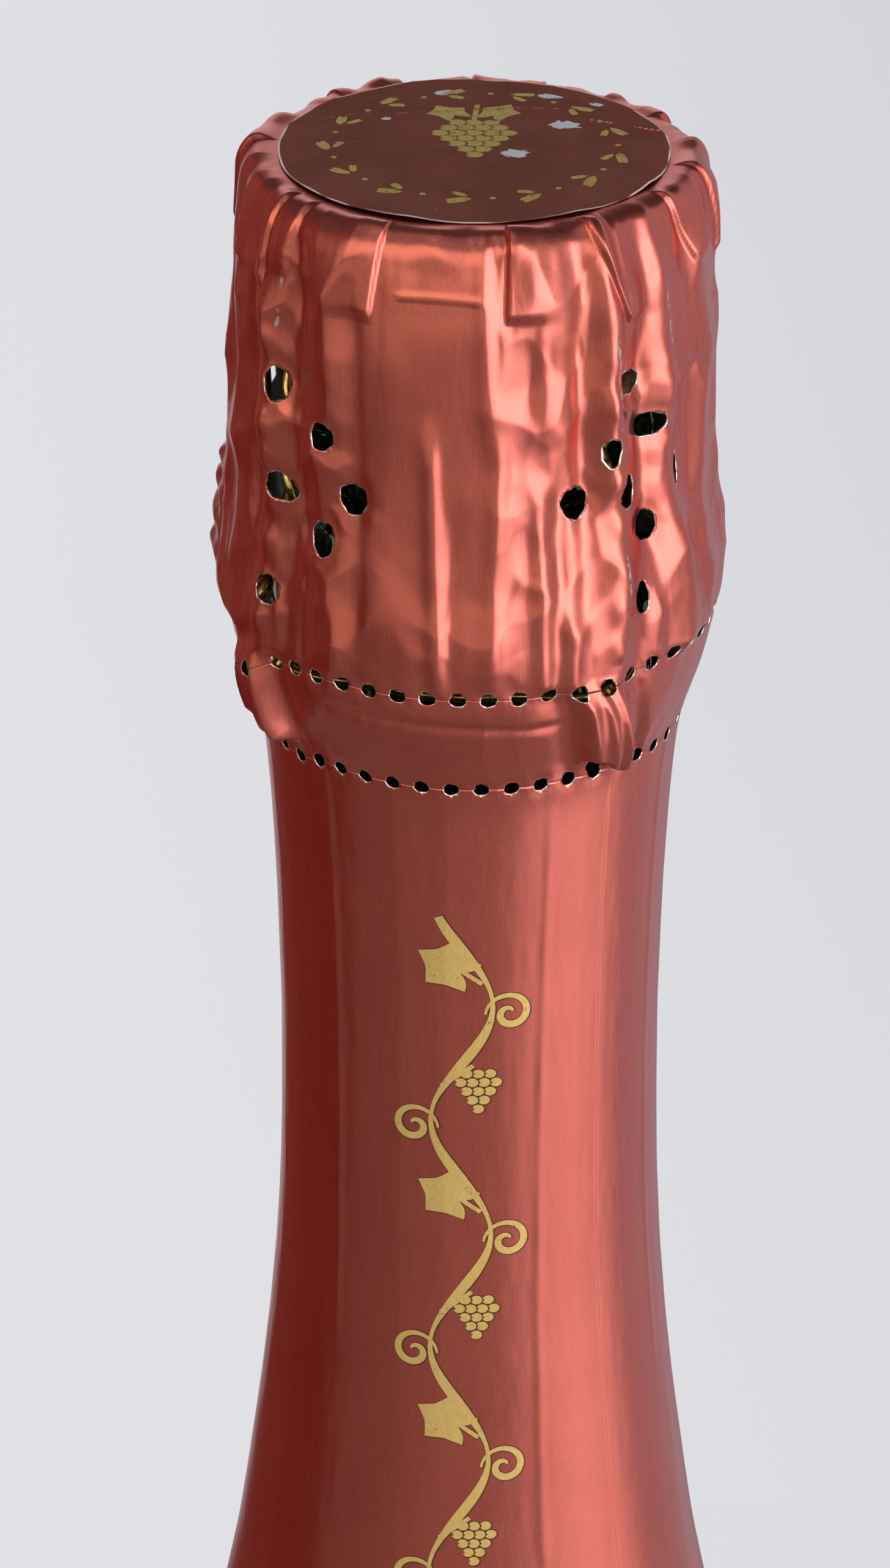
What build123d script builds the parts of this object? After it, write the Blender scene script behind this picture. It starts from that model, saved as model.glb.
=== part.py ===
from build123d import *
from math import asin, atan2, cos, degrees, pi, radians, sin, sqrt
import os

# A sparkling-wine bottle with its cork, wire cage and foil capsule. Lengths are in millimetres.
# The origin is at the centre of the foot with +Z up. Azimuth 0 looks out along -Y and grows to +X.
os.makedirs("parts", exist_ok=True)

# Glass
glass_h = 300.0
body_r = 47.0
body_h = 96.0
waist_drop = 60.0
waist_r = 15.0
neck_drop = 34.0
groove_inset = 0.4
wall_t = 4.2
bore_r = 8.9
bore_depth = 34.0
foot_inset = 12.5
heel_round_r = 8.0
punt_h = 32.0
base_t = 6.0
trough_gap = 1.5
finish_h = 19.4
ring_r = 16.0
ring_h = 5.4
lip_r = 14.3
lip_h = 6.0
lip_chamfer = 1.1
collar_r = 13.2
lip_rise = 1.0

# The shoulder's slope as a share of the slope at which its two arcs would meet with no straight
# between them, the part of the two arc radii that its upper, hollow arc takes, and the part of
# the heel's first chamfer that its second ones take off
slope_share = 0.93
hollow_share = 0.83
heel_share = 0.33

# Chords that stand for the shoulder's two arcs, in the glass, its inside and the foil
glass_chords = (3, 5)
inside_chords = (1, 2)
foil_chords = (2, 6)

# The punt's dome, as shares of the foot's inner radius and of its depth below the crown
punt_shares = ((0.66, 0.4), (0.36, 0.08), (0, 0))

# Cork
cork_head_h = 17.5
cork_head_r = 15.4
cork_root_r = 13.6
cork_top_r = 13.4
stem_h = 24.0
stem_clearance = 0.05
cork_disc_t = 6.0
head_gap = 0.2

# Where the cork's head is widest, as a share of its height from either end
head_bulge_share = 0.22

# Wire cage
wire_r = 0.45
wire_sides = 5
leg_count = 4
leg_azimuth = -55.0
leg_turns = 4.25
steps_per_turn = 6
strand_gap = 0.04
leg_gap = 0.3
belt_gap = 0.2
belt_end_gap = 0.09
belt_lead_angle = 9.0
belt_lift_angle = 26.0
eye_gap = 0.09
eye_end_angle = 60.0
crown_r = 12.2
crown_bend_r = 1.5
plaque_r = 13.4
plaque_t = 0.35
dome_r = 10.9
dome_h = 0.8
seat_gap = 0.03
leg_straight_h = 3.2

# Angles between the points of the wires' arcs
eye_step = 30.0
over_step = 22.5
turn_step = 27.0
crown_step = 9.0
belt_step = 6.0
loop_step = 22.5

# A direction that no wire starts along, from which its section takes its turn
wire_reference = (0.31, 0.52, 0.79)

# Twist key
key_azimuth = -100.0
key_stem_h = 10.0
key_turns = 2.5
key_loop_w = 6.1
key_loop_h = 12.0
key_swing_gap = 1.7

# Foil capsule
foil_t = 0.35
foil_gap = 0.25
disc_lap = 0.25
flange_in_r = 8.0
hood_gap = 0.42
hood_round_r = 3.4
hood_chords = 3
tear_lift = 1.8
tear_band_h = 9.2
band_rim_h = 2.2
capsule_h = 150.0
tear_gap = 0.1
tear_step = 0.1
rim_gap = 0.12
neck_foil_lift = 0.5
neck_foil_bend_h = 6.5
neck_foil_flare = 2.0
perforation_r = 0.5
upper_perforation_count = 52
lower_perforation_count = 45
perforation_sides = 4
vent_r = 1.05
vent_sides = 6
vent_drop = 22.8
vent_azimuth = -50.0
vent_ring_h = 8.7
vent_ring_w = 6.6
vent_ring_count = 8
flap_w = 8.2
flap_gap = 0.2
flap_low_h = 2.9
flap_high_h = 24.0
cutter_reach = 2.8

# Shares that place the hood's lower bend, and the band's belly between the tear lines
rim_share = 0.14
belly_share = 0.62
belly_height_share = 0.33

# Heights worked out from the sizes above
waist_h = glass_h - waist_drop
neck_top_h = glass_h - neck_drop
ring_bottom_h = glass_h - finish_h
belt_h = ring_bottom_h - belt_gap - wire_r
cork_top_h = glass_h + cork_head_h
crown_h = cork_top_h + plaque_t + seat_gap + wire_r
foil_inner_top_h = crown_h + wire_r + foil_gap
flange_h = foil_inner_top_h + foil_t
top_h = flange_h + foil_t
tear_upper_h = belt_h + tear_lift
tear_lower_h = tear_upper_h - tear_band_h
foil_foot_h = top_h - capsule_h
belly_h = tear_lower_h + tear_band_h * belly_height_share

# Radii at which the legs and eyes clear the ring and the cork's head
strand_offset = wire_r + strand_gap
eye_r = wire_r * 2 + eye_gap
leg_foot_r = ring_r + leg_gap + wire_r + strand_offset
leg_top_r = cork_head_r + leg_gap + wire_r + strand_offset
eye_centre_r = leg_foot_r - strand_offset + eye_r
leg_foot_h = belt_h + eye_r + wire_r * 2 + leg_gap
turn_centre_t = strand_offset + crown_bend_r
turn_centre_r = sqrt((crown_r + crown_bend_r) ** 2 - turn_centre_t**2)
turn_angle = degrees(asin(turn_centre_r / (crown_r + crown_bend_r)))
crown_start_angle = degrees(atan2(turn_centre_t, turn_centre_r))
over_r = leg_top_r - turn_centre_r
leg_top_h = crown_h - over_r - leg_straight_h
key_r = leg_foot_r

# Radii of the glass that follow the body and the waist
foot_in_r = body_r - foot_inset
groove_r = waist_r - groove_inset

# Radii at which the foil clears the glass and the cage
hood_r = leg_top_r + strand_offset + wire_r + foil_t + hood_gap
rim_r = eye_centre_r + eye_r + wire_r + foil_t + rim_gap
disc_r = hood_r - hood_round_r + disc_lap
neck_foil_mid_r = waist_r + foil_gap + foil_t + neck_foil_lift
neck_foil_r = waist_r + neck_foil_flare
band_low_r = neck_foil_r + tear_step


def around(azimuth, radius, sideways, height):
    """A point at an azimuth: out along the radius, then sideways towards larger azimuths."""
    a = radians(azimuth)
    return Vector(
        radius * sin(a) + sideways * cos(a),
        -radius * cos(a) + sideways * sin(a),
        height,
    )


def facing(azimuth, height, sideways=0.0, reach=0.0):
    """A plane on the bottle's axis that faces outwards at an azimuth, its x axis sideways."""
    outward = around(azimuth, 1, 0, 0)
    return Plane(
        origin=around(azimuth, reach, sideways, height),
        x_dir=around(azimuth, 0, 1, 0),
        z_dir=outward,
    )


def wire_planes(points):
    """Planes square to a wire at each of its points, carried along without twisting."""
    planes = []
    last = len(points) - 1
    side = None
    for i, point in enumerate(points):
        ahead = (points[min(i + 1, last)] - points[max(i - 1, 0)]).normalized()
        if side is None:
            side = ahead.cross(Vector(wire_reference))
        side = (side - ahead * side.dot(ahead)).normalized()
        planes.append(Plane(origin=point, x_dir=side, z_dir=ahead))
    return planes


def arc_angles(start, end, step):
    """Angles from start to end, both included, in equal steps of about the given size."""
    count = max(1, round(abs(end - start) / step))
    return [start + (end - start) * i / count for i in range(count + 1)]


# The bottle: foot, punt, body, shoulder, neck, ring and lip turned in one profile
shoulder_h = waist_h - body_h
shoulder_w = body_r - waist_r
shoulder_angle = degrees(2 * atan2(shoulder_w, shoulder_h)) * slope_share
shoulder_slope = radians(shoulder_angle)
arc_sum_r = (shoulder_h * sin(shoulder_slope) - shoulder_w * cos(shoulder_slope)) / (
    1 - cos(shoulder_slope)
)
hollow_arc_r = arc_sum_r * hollow_share
round_arc_r = arc_sum_r - hollow_arc_r


def chords(centre, radius, start, sweep, count):
    """Points along an arc, for a few chords, so that its turned faces are plain cones."""
    angles = [radians(start + sweep * i / count) for i in range(count + 1)]
    return [(centre[0] + radius * cos(a), centre[1] + radius * sin(a)) for a in angles]


def shoulder_points(out, counts):
    """The shoulder from the body up to the waist, with each of its points moved out squarely."""
    round_count, hollow_count = counts
    round_centre = (body_r - round_arc_r, body_h)
    hollow_centre = (waist_r + hollow_arc_r, waist_h)
    return chords(round_centre, round_arc_r + out, 0, shoulder_angle, round_count) + chords(
        hollow_centre, hollow_arc_r - out, 180 + shoulder_angle, -shoulder_angle, hollow_count
    )


def corner(sketch, radius, height):
    """The corner of a section that stands at a radius and a height."""
    return sketch.vertices().sort_by_distance((radius, height))[0]


def punt_points(height):
    """The dome of the punt from its flank up to its middle, at a height of its crown."""
    return [(share_r * foot_in_r, height - share_h * punt_h) for share_r, share_h in punt_shares]


body_inner_r = body_r - wall_t
punt_inner_h = punt_h + base_t
trough_r = foot_in_r + trough_gap
collar_top_h = glass_h - lip_h
ring_top_h = ring_bottom_h + ring_h
bore_foot_h = glass_h - bore_depth

with BuildPart() as glass_bottle:
    with BuildSketch(Plane.XZ) as bottle_section:
        with BuildLine():
            Polyline(
                *shoulder_points(0, glass_chords),
                (waist_r, neck_top_h),
                (groove_r, belt_h - wire_r * 2),
                (groove_r, ring_bottom_h),
                (ring_r, ring_bottom_h),
                (ring_r, ring_top_h),
                (collar_r, ring_top_h + lip_chamfer),
                (collar_r, collar_top_h),
                (lip_r, collar_top_h + lip_rise),
                (lip_r, glass_h),
                (bore_r, glass_h),
                (bore_r, bore_foot_h),
                *reversed(shoulder_points(-wall_t, inside_chords)),
                (body_inner_r, base_t),
                (trough_r, base_t),
                *punt_points(punt_inner_h),
                *reversed(punt_points(punt_h)),
                (foot_in_r, 0),
                (body_r, 0),
                close=True,
            )
        make_face()
        chamfer(
            [
                corner(bottle_section, bore_r, glass_h),
                corner(bottle_section, lip_r, glass_h),
                corner(bottle_section, ring_r, ring_bottom_h),
                corner(bottle_section, ring_r, ring_top_h),
            ],
            length=lip_chamfer,
        )
        chamfer(corner(bottle_section, body_inner_r, base_t), length=heel_round_r - wall_t)
        chamfer(corner(bottle_section, body_r, 0), length=heel_round_r)
        heel_ends = [
            corner(bottle_section, body_r, heel_round_r),
            corner(bottle_section, body_r - heel_round_r, 0),
        ]
        chamfer(heel_ends, length=heel_round_r * heel_share)
    revolve(axis=Axis.Z)


# The cork: an agglomerate body with its mushroom head, over two discs of natural cork
stem_r = bore_r - stem_clearance
stem_foot_h = glass_h - stem_h
cork_body_foot_h = stem_foot_h + cork_disc_t * 2
head_foot_h = glass_h + head_gap

with BuildPart() as cork_body:
    with BuildSketch(Plane.XZ):
        with BuildLine():
            Polyline(
                (cork_root_r, head_foot_h),
                (stem_r, head_foot_h),
                (stem_r, cork_body_foot_h),
                (0, cork_body_foot_h),
                (0, cork_top_h),
                (cork_top_r, cork_top_h),
                (cork_head_r, cork_top_h - cork_head_h * head_bulge_share),
                (cork_head_r, head_foot_h + cork_head_h * head_bulge_share),
                close=True,
            )
        make_face()
    revolve(axis=Axis.Z)


def cork_disc(foot_h):
    """One disc of natural cork, as wide as the stem."""
    with BuildPart() as disc:
        with BuildSketch(Plane.XY.offset(foot_h)):
            Circle(stem_r)
        extrude(amount=cork_disc_t)
    return disc


cork_disc_upper = cork_disc(stem_foot_h + cork_disc_t)
cork_disc_lower = cork_disc(stem_foot_h)

# The cap plaque: a thin pressed disc with a raised middle, held under the wire crown
with BuildPart() as cap_plaque:
    with BuildSketch(Plane.XZ):
        with BuildLine():
            Polyline(
                (0, cork_top_h),
                (plaque_r, cork_top_h),
                (plaque_r, cork_top_h + plaque_t),
                (dome_r, cork_top_h + plaque_t),
                (dome_r - dome_h, cork_top_h + plaque_t + dome_h),
                (0, cork_top_h + plaque_t + dome_h),
                close=True,
            )
        make_face()
    revolve(axis=Axis.Z)


# The cage: four wires, each one leg strand up, a quarter of the crown, and one strand down
def strand_points(azimuth, bottom_to_top, hand):
    """A strand of the twisted leg at an azimuth. Hand +1 leaves the top to larger azimuths."""
    count = round(leg_turns * steps_per_turn)
    points = []
    for i in range(count + 1):
        share = i / count
        phase = radians(90 * hand + 360 * leg_turns * share)
        radius = leg_top_r + (leg_foot_r - leg_top_r) * share + strand_offset * cos(phase)
        height = leg_top_h + (leg_foot_h - leg_top_h) * share
        points.append(around(azimuth, radius, strand_offset * sin(phase), height))
    return list(reversed(points)) if bottom_to_top else points


def over_points(azimuth, hand):
    """The wire from a leg's top over the cork's shoulder and into the crown."""
    side = strand_offset * hand
    points = [
        around(azimuth, turn_centre_r + over_r * cos(radians(a)), side,
               crown_h - over_r + over_r * sin(radians(a)))
        for a in arc_angles(0, 90, over_step)
    ]
    for a in arc_angles(0, turn_angle, turn_step)[1:]:
        radius = turn_centre_r - crown_bend_r * sin(radians(a))
        side = hand * (turn_centre_t - crown_bend_r * cos(radians(a)))
        points.append(around(azimuth, radius, side, crown_h))
    return points


def eye_points(azimuth):
    """The eye at a leg's foot, from its free end round to where the inner strand leaves it."""
    return [
        around(azimuth, eye_centre_r + eye_r * cos(radians(a)), 0,
               belt_h + eye_r * sin(radians(a)))
        for a in arc_angles(eye_end_angle, -180, eye_step)
    ]


def cage_wire(azimuth):
    """One wire of the cage, from the eye of its first leg to the foot of its second."""
    following = azimuth + 360 / leg_count
    points = eye_points(azimuth)
    points += strand_points(azimuth, True, 1)
    points += over_points(azimuth, 1)
    crown = arc_angles(azimuth + crown_start_angle, following - crown_start_angle, crown_step)
    points += [around(a, crown_r, 0, crown_h) for a in crown[1:-1]]
    points += reversed(over_points(following, -1))
    points += strand_points(following, False, -1)
    return wire_solid(points)


def wire_solid(points):
    """A wire along its points, with a few flat sides."""
    with BuildPart() as wire:
        for plane in wire_planes(points):
            with BuildSketch(plane):
                RegularPolygon(wire_r, wire_sides)
        loft(ruled=True)
    return wire


cage_wires = {
    f"cage_wire_{i + 1}": cage_wire(leg_azimuth + i * 360 / leg_count) for i in range(leg_count)
}

# The belt wire: tight round the neck under the ring, and out through the eye of each leg
belt_in_r = groove_r + wire_r + belt_gap
belt_end_r = key_r - wire_r * 2 - belt_gap
belt_end_t = strand_offset + belt_end_gap
leg_pitch = 360 / leg_count


def belt_points():
    """The belt's middle line. It bends out smoothly to pass through the eye of each leg."""
    end_angle = degrees(belt_end_t / belt_end_r)
    start = key_azimuth + belt_lead_angle
    end = key_azimuth + 360 - belt_lead_angle
    points = []
    for azimuth in arc_angles(start, end, belt_step):
        from_leg = (azimuth - leg_azimuth + leg_pitch / 2) % leg_pitch - leg_pitch / 2
        nearness = max(0.0, 1 - abs(from_leg) / belt_lift_angle)
        lift = sin(pi / 2 * nearness) ** 2
        points.append(around(azimuth, belt_in_r + (eye_centre_r - belt_in_r) * lift, 0, belt_h))
    first = around(key_azimuth + end_angle, belt_end_r, 0, belt_h)
    last = around(key_azimuth - end_angle, belt_end_r, 0, belt_h)
    return [first] + points + [last]


belt_wire = wire_solid(belt_points())


# The twist key: the belt's ends twisted into a stem, and the loop that the fingers turn
def key_strand(hand):
    """One of the two strands of the key's twisted stem."""
    count = round(key_turns * steps_per_turn)
    points = []
    for i in range(count + 1):
        share = i / count
        phase = radians(90 * hand + 360 * key_turns * share)
        radius = key_r + strand_offset * cos(phase)
        height = belt_h + key_stem_h * share
        points.append(around(key_azimuth, radius, strand_offset * sin(phase), height))
    return points


def key_loop():
    """The oval loop above the stem, from one strand round to the other."""
    half_w = key_loop_w / 2
    half_h = key_loop_h / 2
    start = degrees(asin(strand_offset / half_w))
    stem_top_h = belt_h + key_stem_h
    return [
        around(key_azimuth, key_r, -half_w * sin(radians(a)),
               stem_top_h + half_h * (1 - cos(radians(a))))
        for a in arc_angles(start, 360 - start, loop_step)
    ]


twist_key = wire_solid(key_strand(1) + key_loop()[1:-1] + list(reversed(key_strand(-1))))


# The foil: hood, tear band and neck foil are thin crimped shells with a flat side between each
# two punched holes, and the disc is glued on top. Points run upwards as radius and height.
def hood_points(inset):
    """The hood's section, from the upper tear line over the shoulder to its flat top."""
    middle = (hood_r - hood_round_r, flange_h - hood_round_r)
    return [
        (rim_r - inset, tear_upper_h + tear_gap / 2),
        (rim_r - inset, tear_upper_h + (top_h - tear_upper_h) * rim_share),
        *chords(middle, hood_round_r - inset, 0, 90, hood_chords),
    ]


def band_points(inset):
    """The tear band's section, bellied over the cage's feet between the two tear lines."""
    return [
        (band_low_r - inset, tear_lower_h + tear_gap / 2),
        (band_low_r + (rim_r - band_low_r) * belly_share - inset, belly_h),
        (rim_r - inset, tear_upper_h - band_rim_h),
        (rim_r - inset, tear_upper_h - tear_gap / 2),
    ]


def neck_foil_points(inset):
    """The neck foil's section: close round the shoulder and neck, up to the lower tear line."""
    out = foil_gap + foil_t - inset
    return [
        *shoulder_points(out, foil_chords),
        (neck_foil_mid_r - inset, tear_lower_h - neck_foil_bend_h),
        (neck_foil_r - inset, tear_lower_h - tear_gap / 2),
    ]


def stacked(points, sides):
    """A solid with flat sides through level rings, each given by its radius and height."""
    rings = [
        [around(360 * k / sides, radius, 0, height) for k in range(sides)]
        for radius, height in points
    ]
    faces = [Face(Wire.make_polygon(rings[0])), Face(Wire.make_polygon(rings[-1]))]
    for lower, upper in zip(rings, rings[1:]):
        for k in range(sides):
            corner_points = [lower[k - 1], lower[k], upper[k], upper[k - 1]]
            faces.append(Face(Wire.make_polygon(corner_points)))
    return Solid(Shell(faces))


def shell(section, sides):
    """A thin shell between a section and the same section set in by the foil's thickness."""
    with BuildPart() as foil:
        add(stacked(section(0), sides))
        add(stacked(section(foil_t), sides), mode=Mode.SUBTRACT)
    return foil.part


def punch(count, height, radius):
    """Cut a ring of small holes through a shell. They are drawn with a few sides each."""
    planes = [facing(i * 360 / count, height, 0, radius - cutter_reach) for i in range(count)]
    with BuildSketch(*planes) as holes:
        RegularPolygon(perforation_r, perforation_sides)
    extrude(holes.sketch, amount=cutter_reach * 2, mode=Mode.SUBTRACT)


def vent_planes():
    """Planes of the vent holes: in each group one in the middle and an oval ring about it."""
    height = top_h - vent_drop
    planes = []
    for group in range(leg_count):
        azimuth = vent_azimuth + group * 360 / leg_count
        planes.append(facing(azimuth, height, 0, hood_r - cutter_reach))
        for i in range(vent_ring_count):
            a = 2 * pi * i / vent_ring_count
            turn = degrees(vent_ring_w * sin(a) / hood_r)
            planes.append(
                facing(azimuth + turn, height + vent_ring_h * cos(a), 0, hood_r - cutter_reach)
            )
    return planes


slot_w = flap_w + flap_gap * 2
slot_low_h = belt_h - key_swing_gap
flap_foot_h = belt_h + flap_low_h
flap_top_h = belt_h + flap_high_h
flap_mid_h = (flap_foot_h + flap_top_h) / 2
slot_top_h = flap_top_h + flap_gap
slot_mid_h = (slot_low_h + slot_top_h) / 2

hood_blank = shell(hood_points, upper_perforation_count)

with BuildPart() as foil_hood:
    add(hood_blank)
    with BuildSketch(Plane.XY.offset(flange_h)):
        RegularPolygon(flange_in_r, upper_perforation_count)
    extrude(amount=-cutter_reach, mode=Mode.SUBTRACT)
    punch(upper_perforation_count, tear_upper_h, rim_r)
    with BuildSketch(*vent_planes()):
        RegularPolygon(vent_r, vent_sides)
    extrude(amount=cutter_reach * 2, mode=Mode.SUBTRACT)
    with BuildSketch(facing(key_azimuth, slot_mid_h, 0, hood_r - cutter_reach)):
        Rectangle(slot_w, slot_top_h - slot_low_h)
    extrude(amount=cutter_reach * 2, mode=Mode.SUBTRACT)

with BuildPart() as key_foil_flap:
    add(hood_blank)
    with BuildSketch(facing(key_azimuth, flap_mid_h, 0, hood_r - cutter_reach)):
        Rectangle(flap_w, flap_top_h - flap_foot_h)
    extrude(amount=cutter_reach * 2, mode=Mode.INTERSECT)

with BuildPart() as tear_band:
    add(shell(band_points, upper_perforation_count))
    punch(upper_perforation_count, tear_upper_h, rim_r)
    punch(lower_perforation_count, tear_lower_h, band_low_r)
    with BuildSketch(facing(key_azimuth, slot_mid_h, 0, rim_r - cutter_reach)):
        Rectangle(slot_w, slot_top_h - slot_low_h)
    extrude(amount=cutter_reach * 2, mode=Mode.SUBTRACT)

with BuildPart() as neck_foil:
    add(shell(neck_foil_points, lower_perforation_count))
    split(bisect_by=Plane.XY.offset(foil_foot_h), keep=Keep.TOP)
    punch(lower_perforation_count, tear_lower_h, band_low_r)

with BuildPart() as top_disc:
    with BuildSketch(Plane.XY.offset(flange_h)):
        Circle(disc_r)
    extrude(amount=foil_t)

pieces = {
    "glass_bottle": glass_bottle,
    "cork_body": cork_body,
    "cork_disc_upper": cork_disc_upper,
    "cork_disc_lower": cork_disc_lower,
    "cap_plaque": cap_plaque,
    **cage_wires,
    "belt_wire": belt_wire,
    "twist_key": twist_key,
    "foil_hood": foil_hood,
    "key_foil_flap": key_foil_flap,
    "top_disc": top_disc,
    "tear_band": tear_band,
    "neck_foil": neck_foil,
}

for label, piece in pieces.items():
    piece.part.label = label
    export_step(piece.part, f"parts/{label}.step")
    print(label, round(piece.part.volume, 1), len(piece.part.solids()))
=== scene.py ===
from math import atan2, cos, degrees, pi, radians, sin

import bpy
import numpy as np
from mathutils import Euler, Matrix, Vector

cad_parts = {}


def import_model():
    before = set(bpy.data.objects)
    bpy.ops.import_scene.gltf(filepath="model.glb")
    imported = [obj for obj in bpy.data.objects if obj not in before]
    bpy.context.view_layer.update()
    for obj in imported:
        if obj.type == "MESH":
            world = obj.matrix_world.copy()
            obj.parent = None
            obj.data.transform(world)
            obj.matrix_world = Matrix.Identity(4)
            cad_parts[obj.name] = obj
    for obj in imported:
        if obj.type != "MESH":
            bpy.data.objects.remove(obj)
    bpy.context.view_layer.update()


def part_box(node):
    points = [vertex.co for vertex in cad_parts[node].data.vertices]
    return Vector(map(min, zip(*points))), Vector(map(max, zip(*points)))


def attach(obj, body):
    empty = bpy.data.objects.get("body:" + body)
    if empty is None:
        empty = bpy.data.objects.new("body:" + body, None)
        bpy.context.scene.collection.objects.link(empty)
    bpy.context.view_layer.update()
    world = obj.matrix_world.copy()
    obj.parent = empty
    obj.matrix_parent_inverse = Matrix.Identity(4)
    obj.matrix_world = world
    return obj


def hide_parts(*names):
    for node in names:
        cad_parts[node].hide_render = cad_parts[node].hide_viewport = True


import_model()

# Lengths in this script are in millimetres and become metres in the meshes. Azimuth 0 looks out
# along -Y, towards the camera, and grows towards +X. Drops are measured down from the top.
MM = 0.001

# Heights and radii read from the frame
top_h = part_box("top_disc")[1].z / MM
cork_top_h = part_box("cap_plaque")[0].z / MM
glass_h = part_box("glass_bottle")[1].z / MM
foil_foot_drop = top_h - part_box("neck_foil")[0].z / MM
stem_foot_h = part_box("cork_disc_lower")[0].z / MM
disc_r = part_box("top_disc")[1].x / MM

# Glass, which stands a little inside the solid so that its waves don't pass it
glass_inset = 0.04
body_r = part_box("glass_bottle")[1].x / MM - glass_inset
body_h = 96.0
waist_h = 240.0
waist_r = 15.0
neck_top_h = 266.0
groove_r = 14.6
ring_bottom_h = 280.6
ring_r = 16.0
ring_h = 5.4
collar_r = 13.2
lip_r = 14.3
lip_h = 6.0
bore_r = 8.9
wall_t = 4.2
foot_in_r = 34.5
heel_r = 8.0
cavity_r = 42.8
round_arc_r = 57.4
hollow_arc_r = 280.5
shoulder_angle = 23.3

# Cork
stem_r = 8.84

# Wires
wire_r = 0.45
round_wire_r = wire_r * 0.98
strand_offset = 0.49
belt_h = 279.95
leg_azimuths = (-55.0, 35.0, 125.0, -145.0)
leg_turns = 4.25
leg_foot_r = 17.24
leg_top_r = 16.64
leg_foot_h = 282.14
leg_top_h = 312.04
eye_r = 0.99
eye_centre_r = 17.74
crown_h = 318.33
crown_r = 12.2
over_r = 3.08
turn_centre_r = 13.555
crown_bend_r = 1.5
belt_in_r = 15.25
key_azimuth = -100.0
key_r = 17.24
key_stem_h = 10.0
key_turns = 2.5
key_loop_w = 6.1
key_loop_h = 12.0

# Foil: thickness, columns round it, mean radii of its parts, and the travel where the hood begins
foil_t = 0.14
disc_t = 0.07
foil_cols = 840
hood_side_r = 18.9
neck_side_r = 17.2
hood_start = 1.5

# The slot over the key, its flap's foot, and the pitch of the bumps that the key presses into it
slot_half_w = 4.3
slot_low_h = 278.25
slot_top_h = 304.15
flap_foot_h = 282.85
bead_pitch = 2.55

# Rows of tear holes: how many, the first one's azimuth, their radius, and the bare metal round them
upper_count, upper_phase = 52, -3.3
lower_count, lower_phase = 46, 2.5
hole_r = 0.6
bare_w = 0.12

# The foil's section as drop and radius, from under the disc over the edge and down the side
section = (
    (0.6, 9.0), (0.6, 13.8), (0.53, 15.3), (0.65, 16.1), (0.9, 16.65), (1.3, 17.03),
    (1.95, 17.28), (2.8, 17.54), (3.8, 17.84), (4.8, 18.13), (5.7, 18.4), (6.4, 18.48),
    (8.6, 18.53), (12, 18.64), (20, 18.65), (24, 18.85), (28, 19.15), (31, 19.65), (33.5, 19.98),
    (35.5, 20.0), (38, 19.7), (40, 19.35), (43, 18.6), (45.5, 17.7), (47.2, 17.2), (50, 16.8),
    (56, 16.4), (64, 16.05), (76, 15.85), (84, 15.95), (92, 16.16), (100, 16.6), (108, 17.3),
    (116, 18.2), (124, 19.3), (132, 20.5), (136, 21.3), (144, 22.95), (150.5, 24.5), (154, 25.4),
)

# Camera, from the photograph: its perspective fits a pinhole at this focal length
photo_focal_px = 7500.0
photo_long_px = 2564.0
sensor_w = 36.0
camera_elevation = 28.9
camera_distance = 377.15
camera_roll = 0.15
aim_x = -2.09
aim_drop = 55.86

# Studio cards: how far out they stand, and how high their floor part and their ceiling lie
card_far = 250.0
card_low = 1.5
card_top = 520.0

# Radius of the stage's floor
floor_r = 1200.0


def around(azimuth, radius, sideways, height):
    """Points at azimuths in degrees and radii, moved sideways from there, and at heights."""
    a = np.radians(azimuth)
    return np.stack(np.broadcast_arrays(
        radius * np.sin(a) + sideways * np.cos(a), sideways * np.sin(a) - radius * np.cos(a),
        height), axis=-1)


def gap(azimuth, centre):
    """Degrees from a centre azimuth, between -180 and 180."""
    return np.mod(azimuth - centre + 180, 360) - 180


def bump(x, width):
    return np.exp(-((x / width) ** 2))


def smooth(x, low, high):
    t = np.clip((x - low) / (high - low), 0, 1)
    return t * t * (3 - 2 * t)


def window(x, low, high, soft):
    return smooth(x, low - soft, low) * (1 - smooth(x, high, high + soft))


def noise(azimuth, height, cells, step, seed):
    """Smooth noise from -1 to 1, with some cells round the bottle and a step up it."""
    rows = 96
    values = np.random.RandomState(seed).uniform(-1, 1, (rows, cells))
    u = np.mod(azimuth / 360, 1) * cells
    v = height / step + rows
    u0, v0 = np.floor(u).astype(int), np.floor(v).astype(int)
    fu, fv = u - u0, v - v0
    fu, fv = fu * fu * (3 - 2 * fu), fv * fv * (3 - 2 * fv)

    def at(i, j):
        return values[np.mod(j, rows), np.mod(i, cells)]

    low = at(u0, v0) * (1 - fu) + at(u0 + 1, v0) * fu
    high = at(u0, v0 + 1) * (1 - fu) + at(u0 + 1, v0 + 1) * fu
    return low * (1 - fv) + high * fv


def ridges(azimuth, height, cells, step, seed):
    return 1 - 2 * np.abs(noise(azimuth, height, cells, step, seed))


def facets(azimuth, drop, count, seed, half_w, half_h):
    """Shallow dents with sharp ridges between them, as crumpled foil has, from 0 to about 1."""
    rng = np.random.RandomState(seed)
    centres = np.column_stack([rng.uniform(-180, 180, count), rng.uniform(1, 38, count)])
    sizes = rng.uniform(0.75, 1.3, count)
    bent = azimuth + 2.2 * noise(azimuth, drop, 26, 6.0, seed + 1)
    lower = drop + 1.3 * noise(azimuth, drop, 34, 4.0, seed + 2)
    total = np.zeros_like(azimuth)
    for (a, d), size in zip(centres, sizes):
        off = gap(bent, a) / (half_w * size)
        total += np.exp(-9.0 * (off**2 + ((lower - d) / (half_h * size)) ** 2))
    return np.clip(-np.log(total + 1e-9) / 9.0, 0, 1.1)


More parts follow.
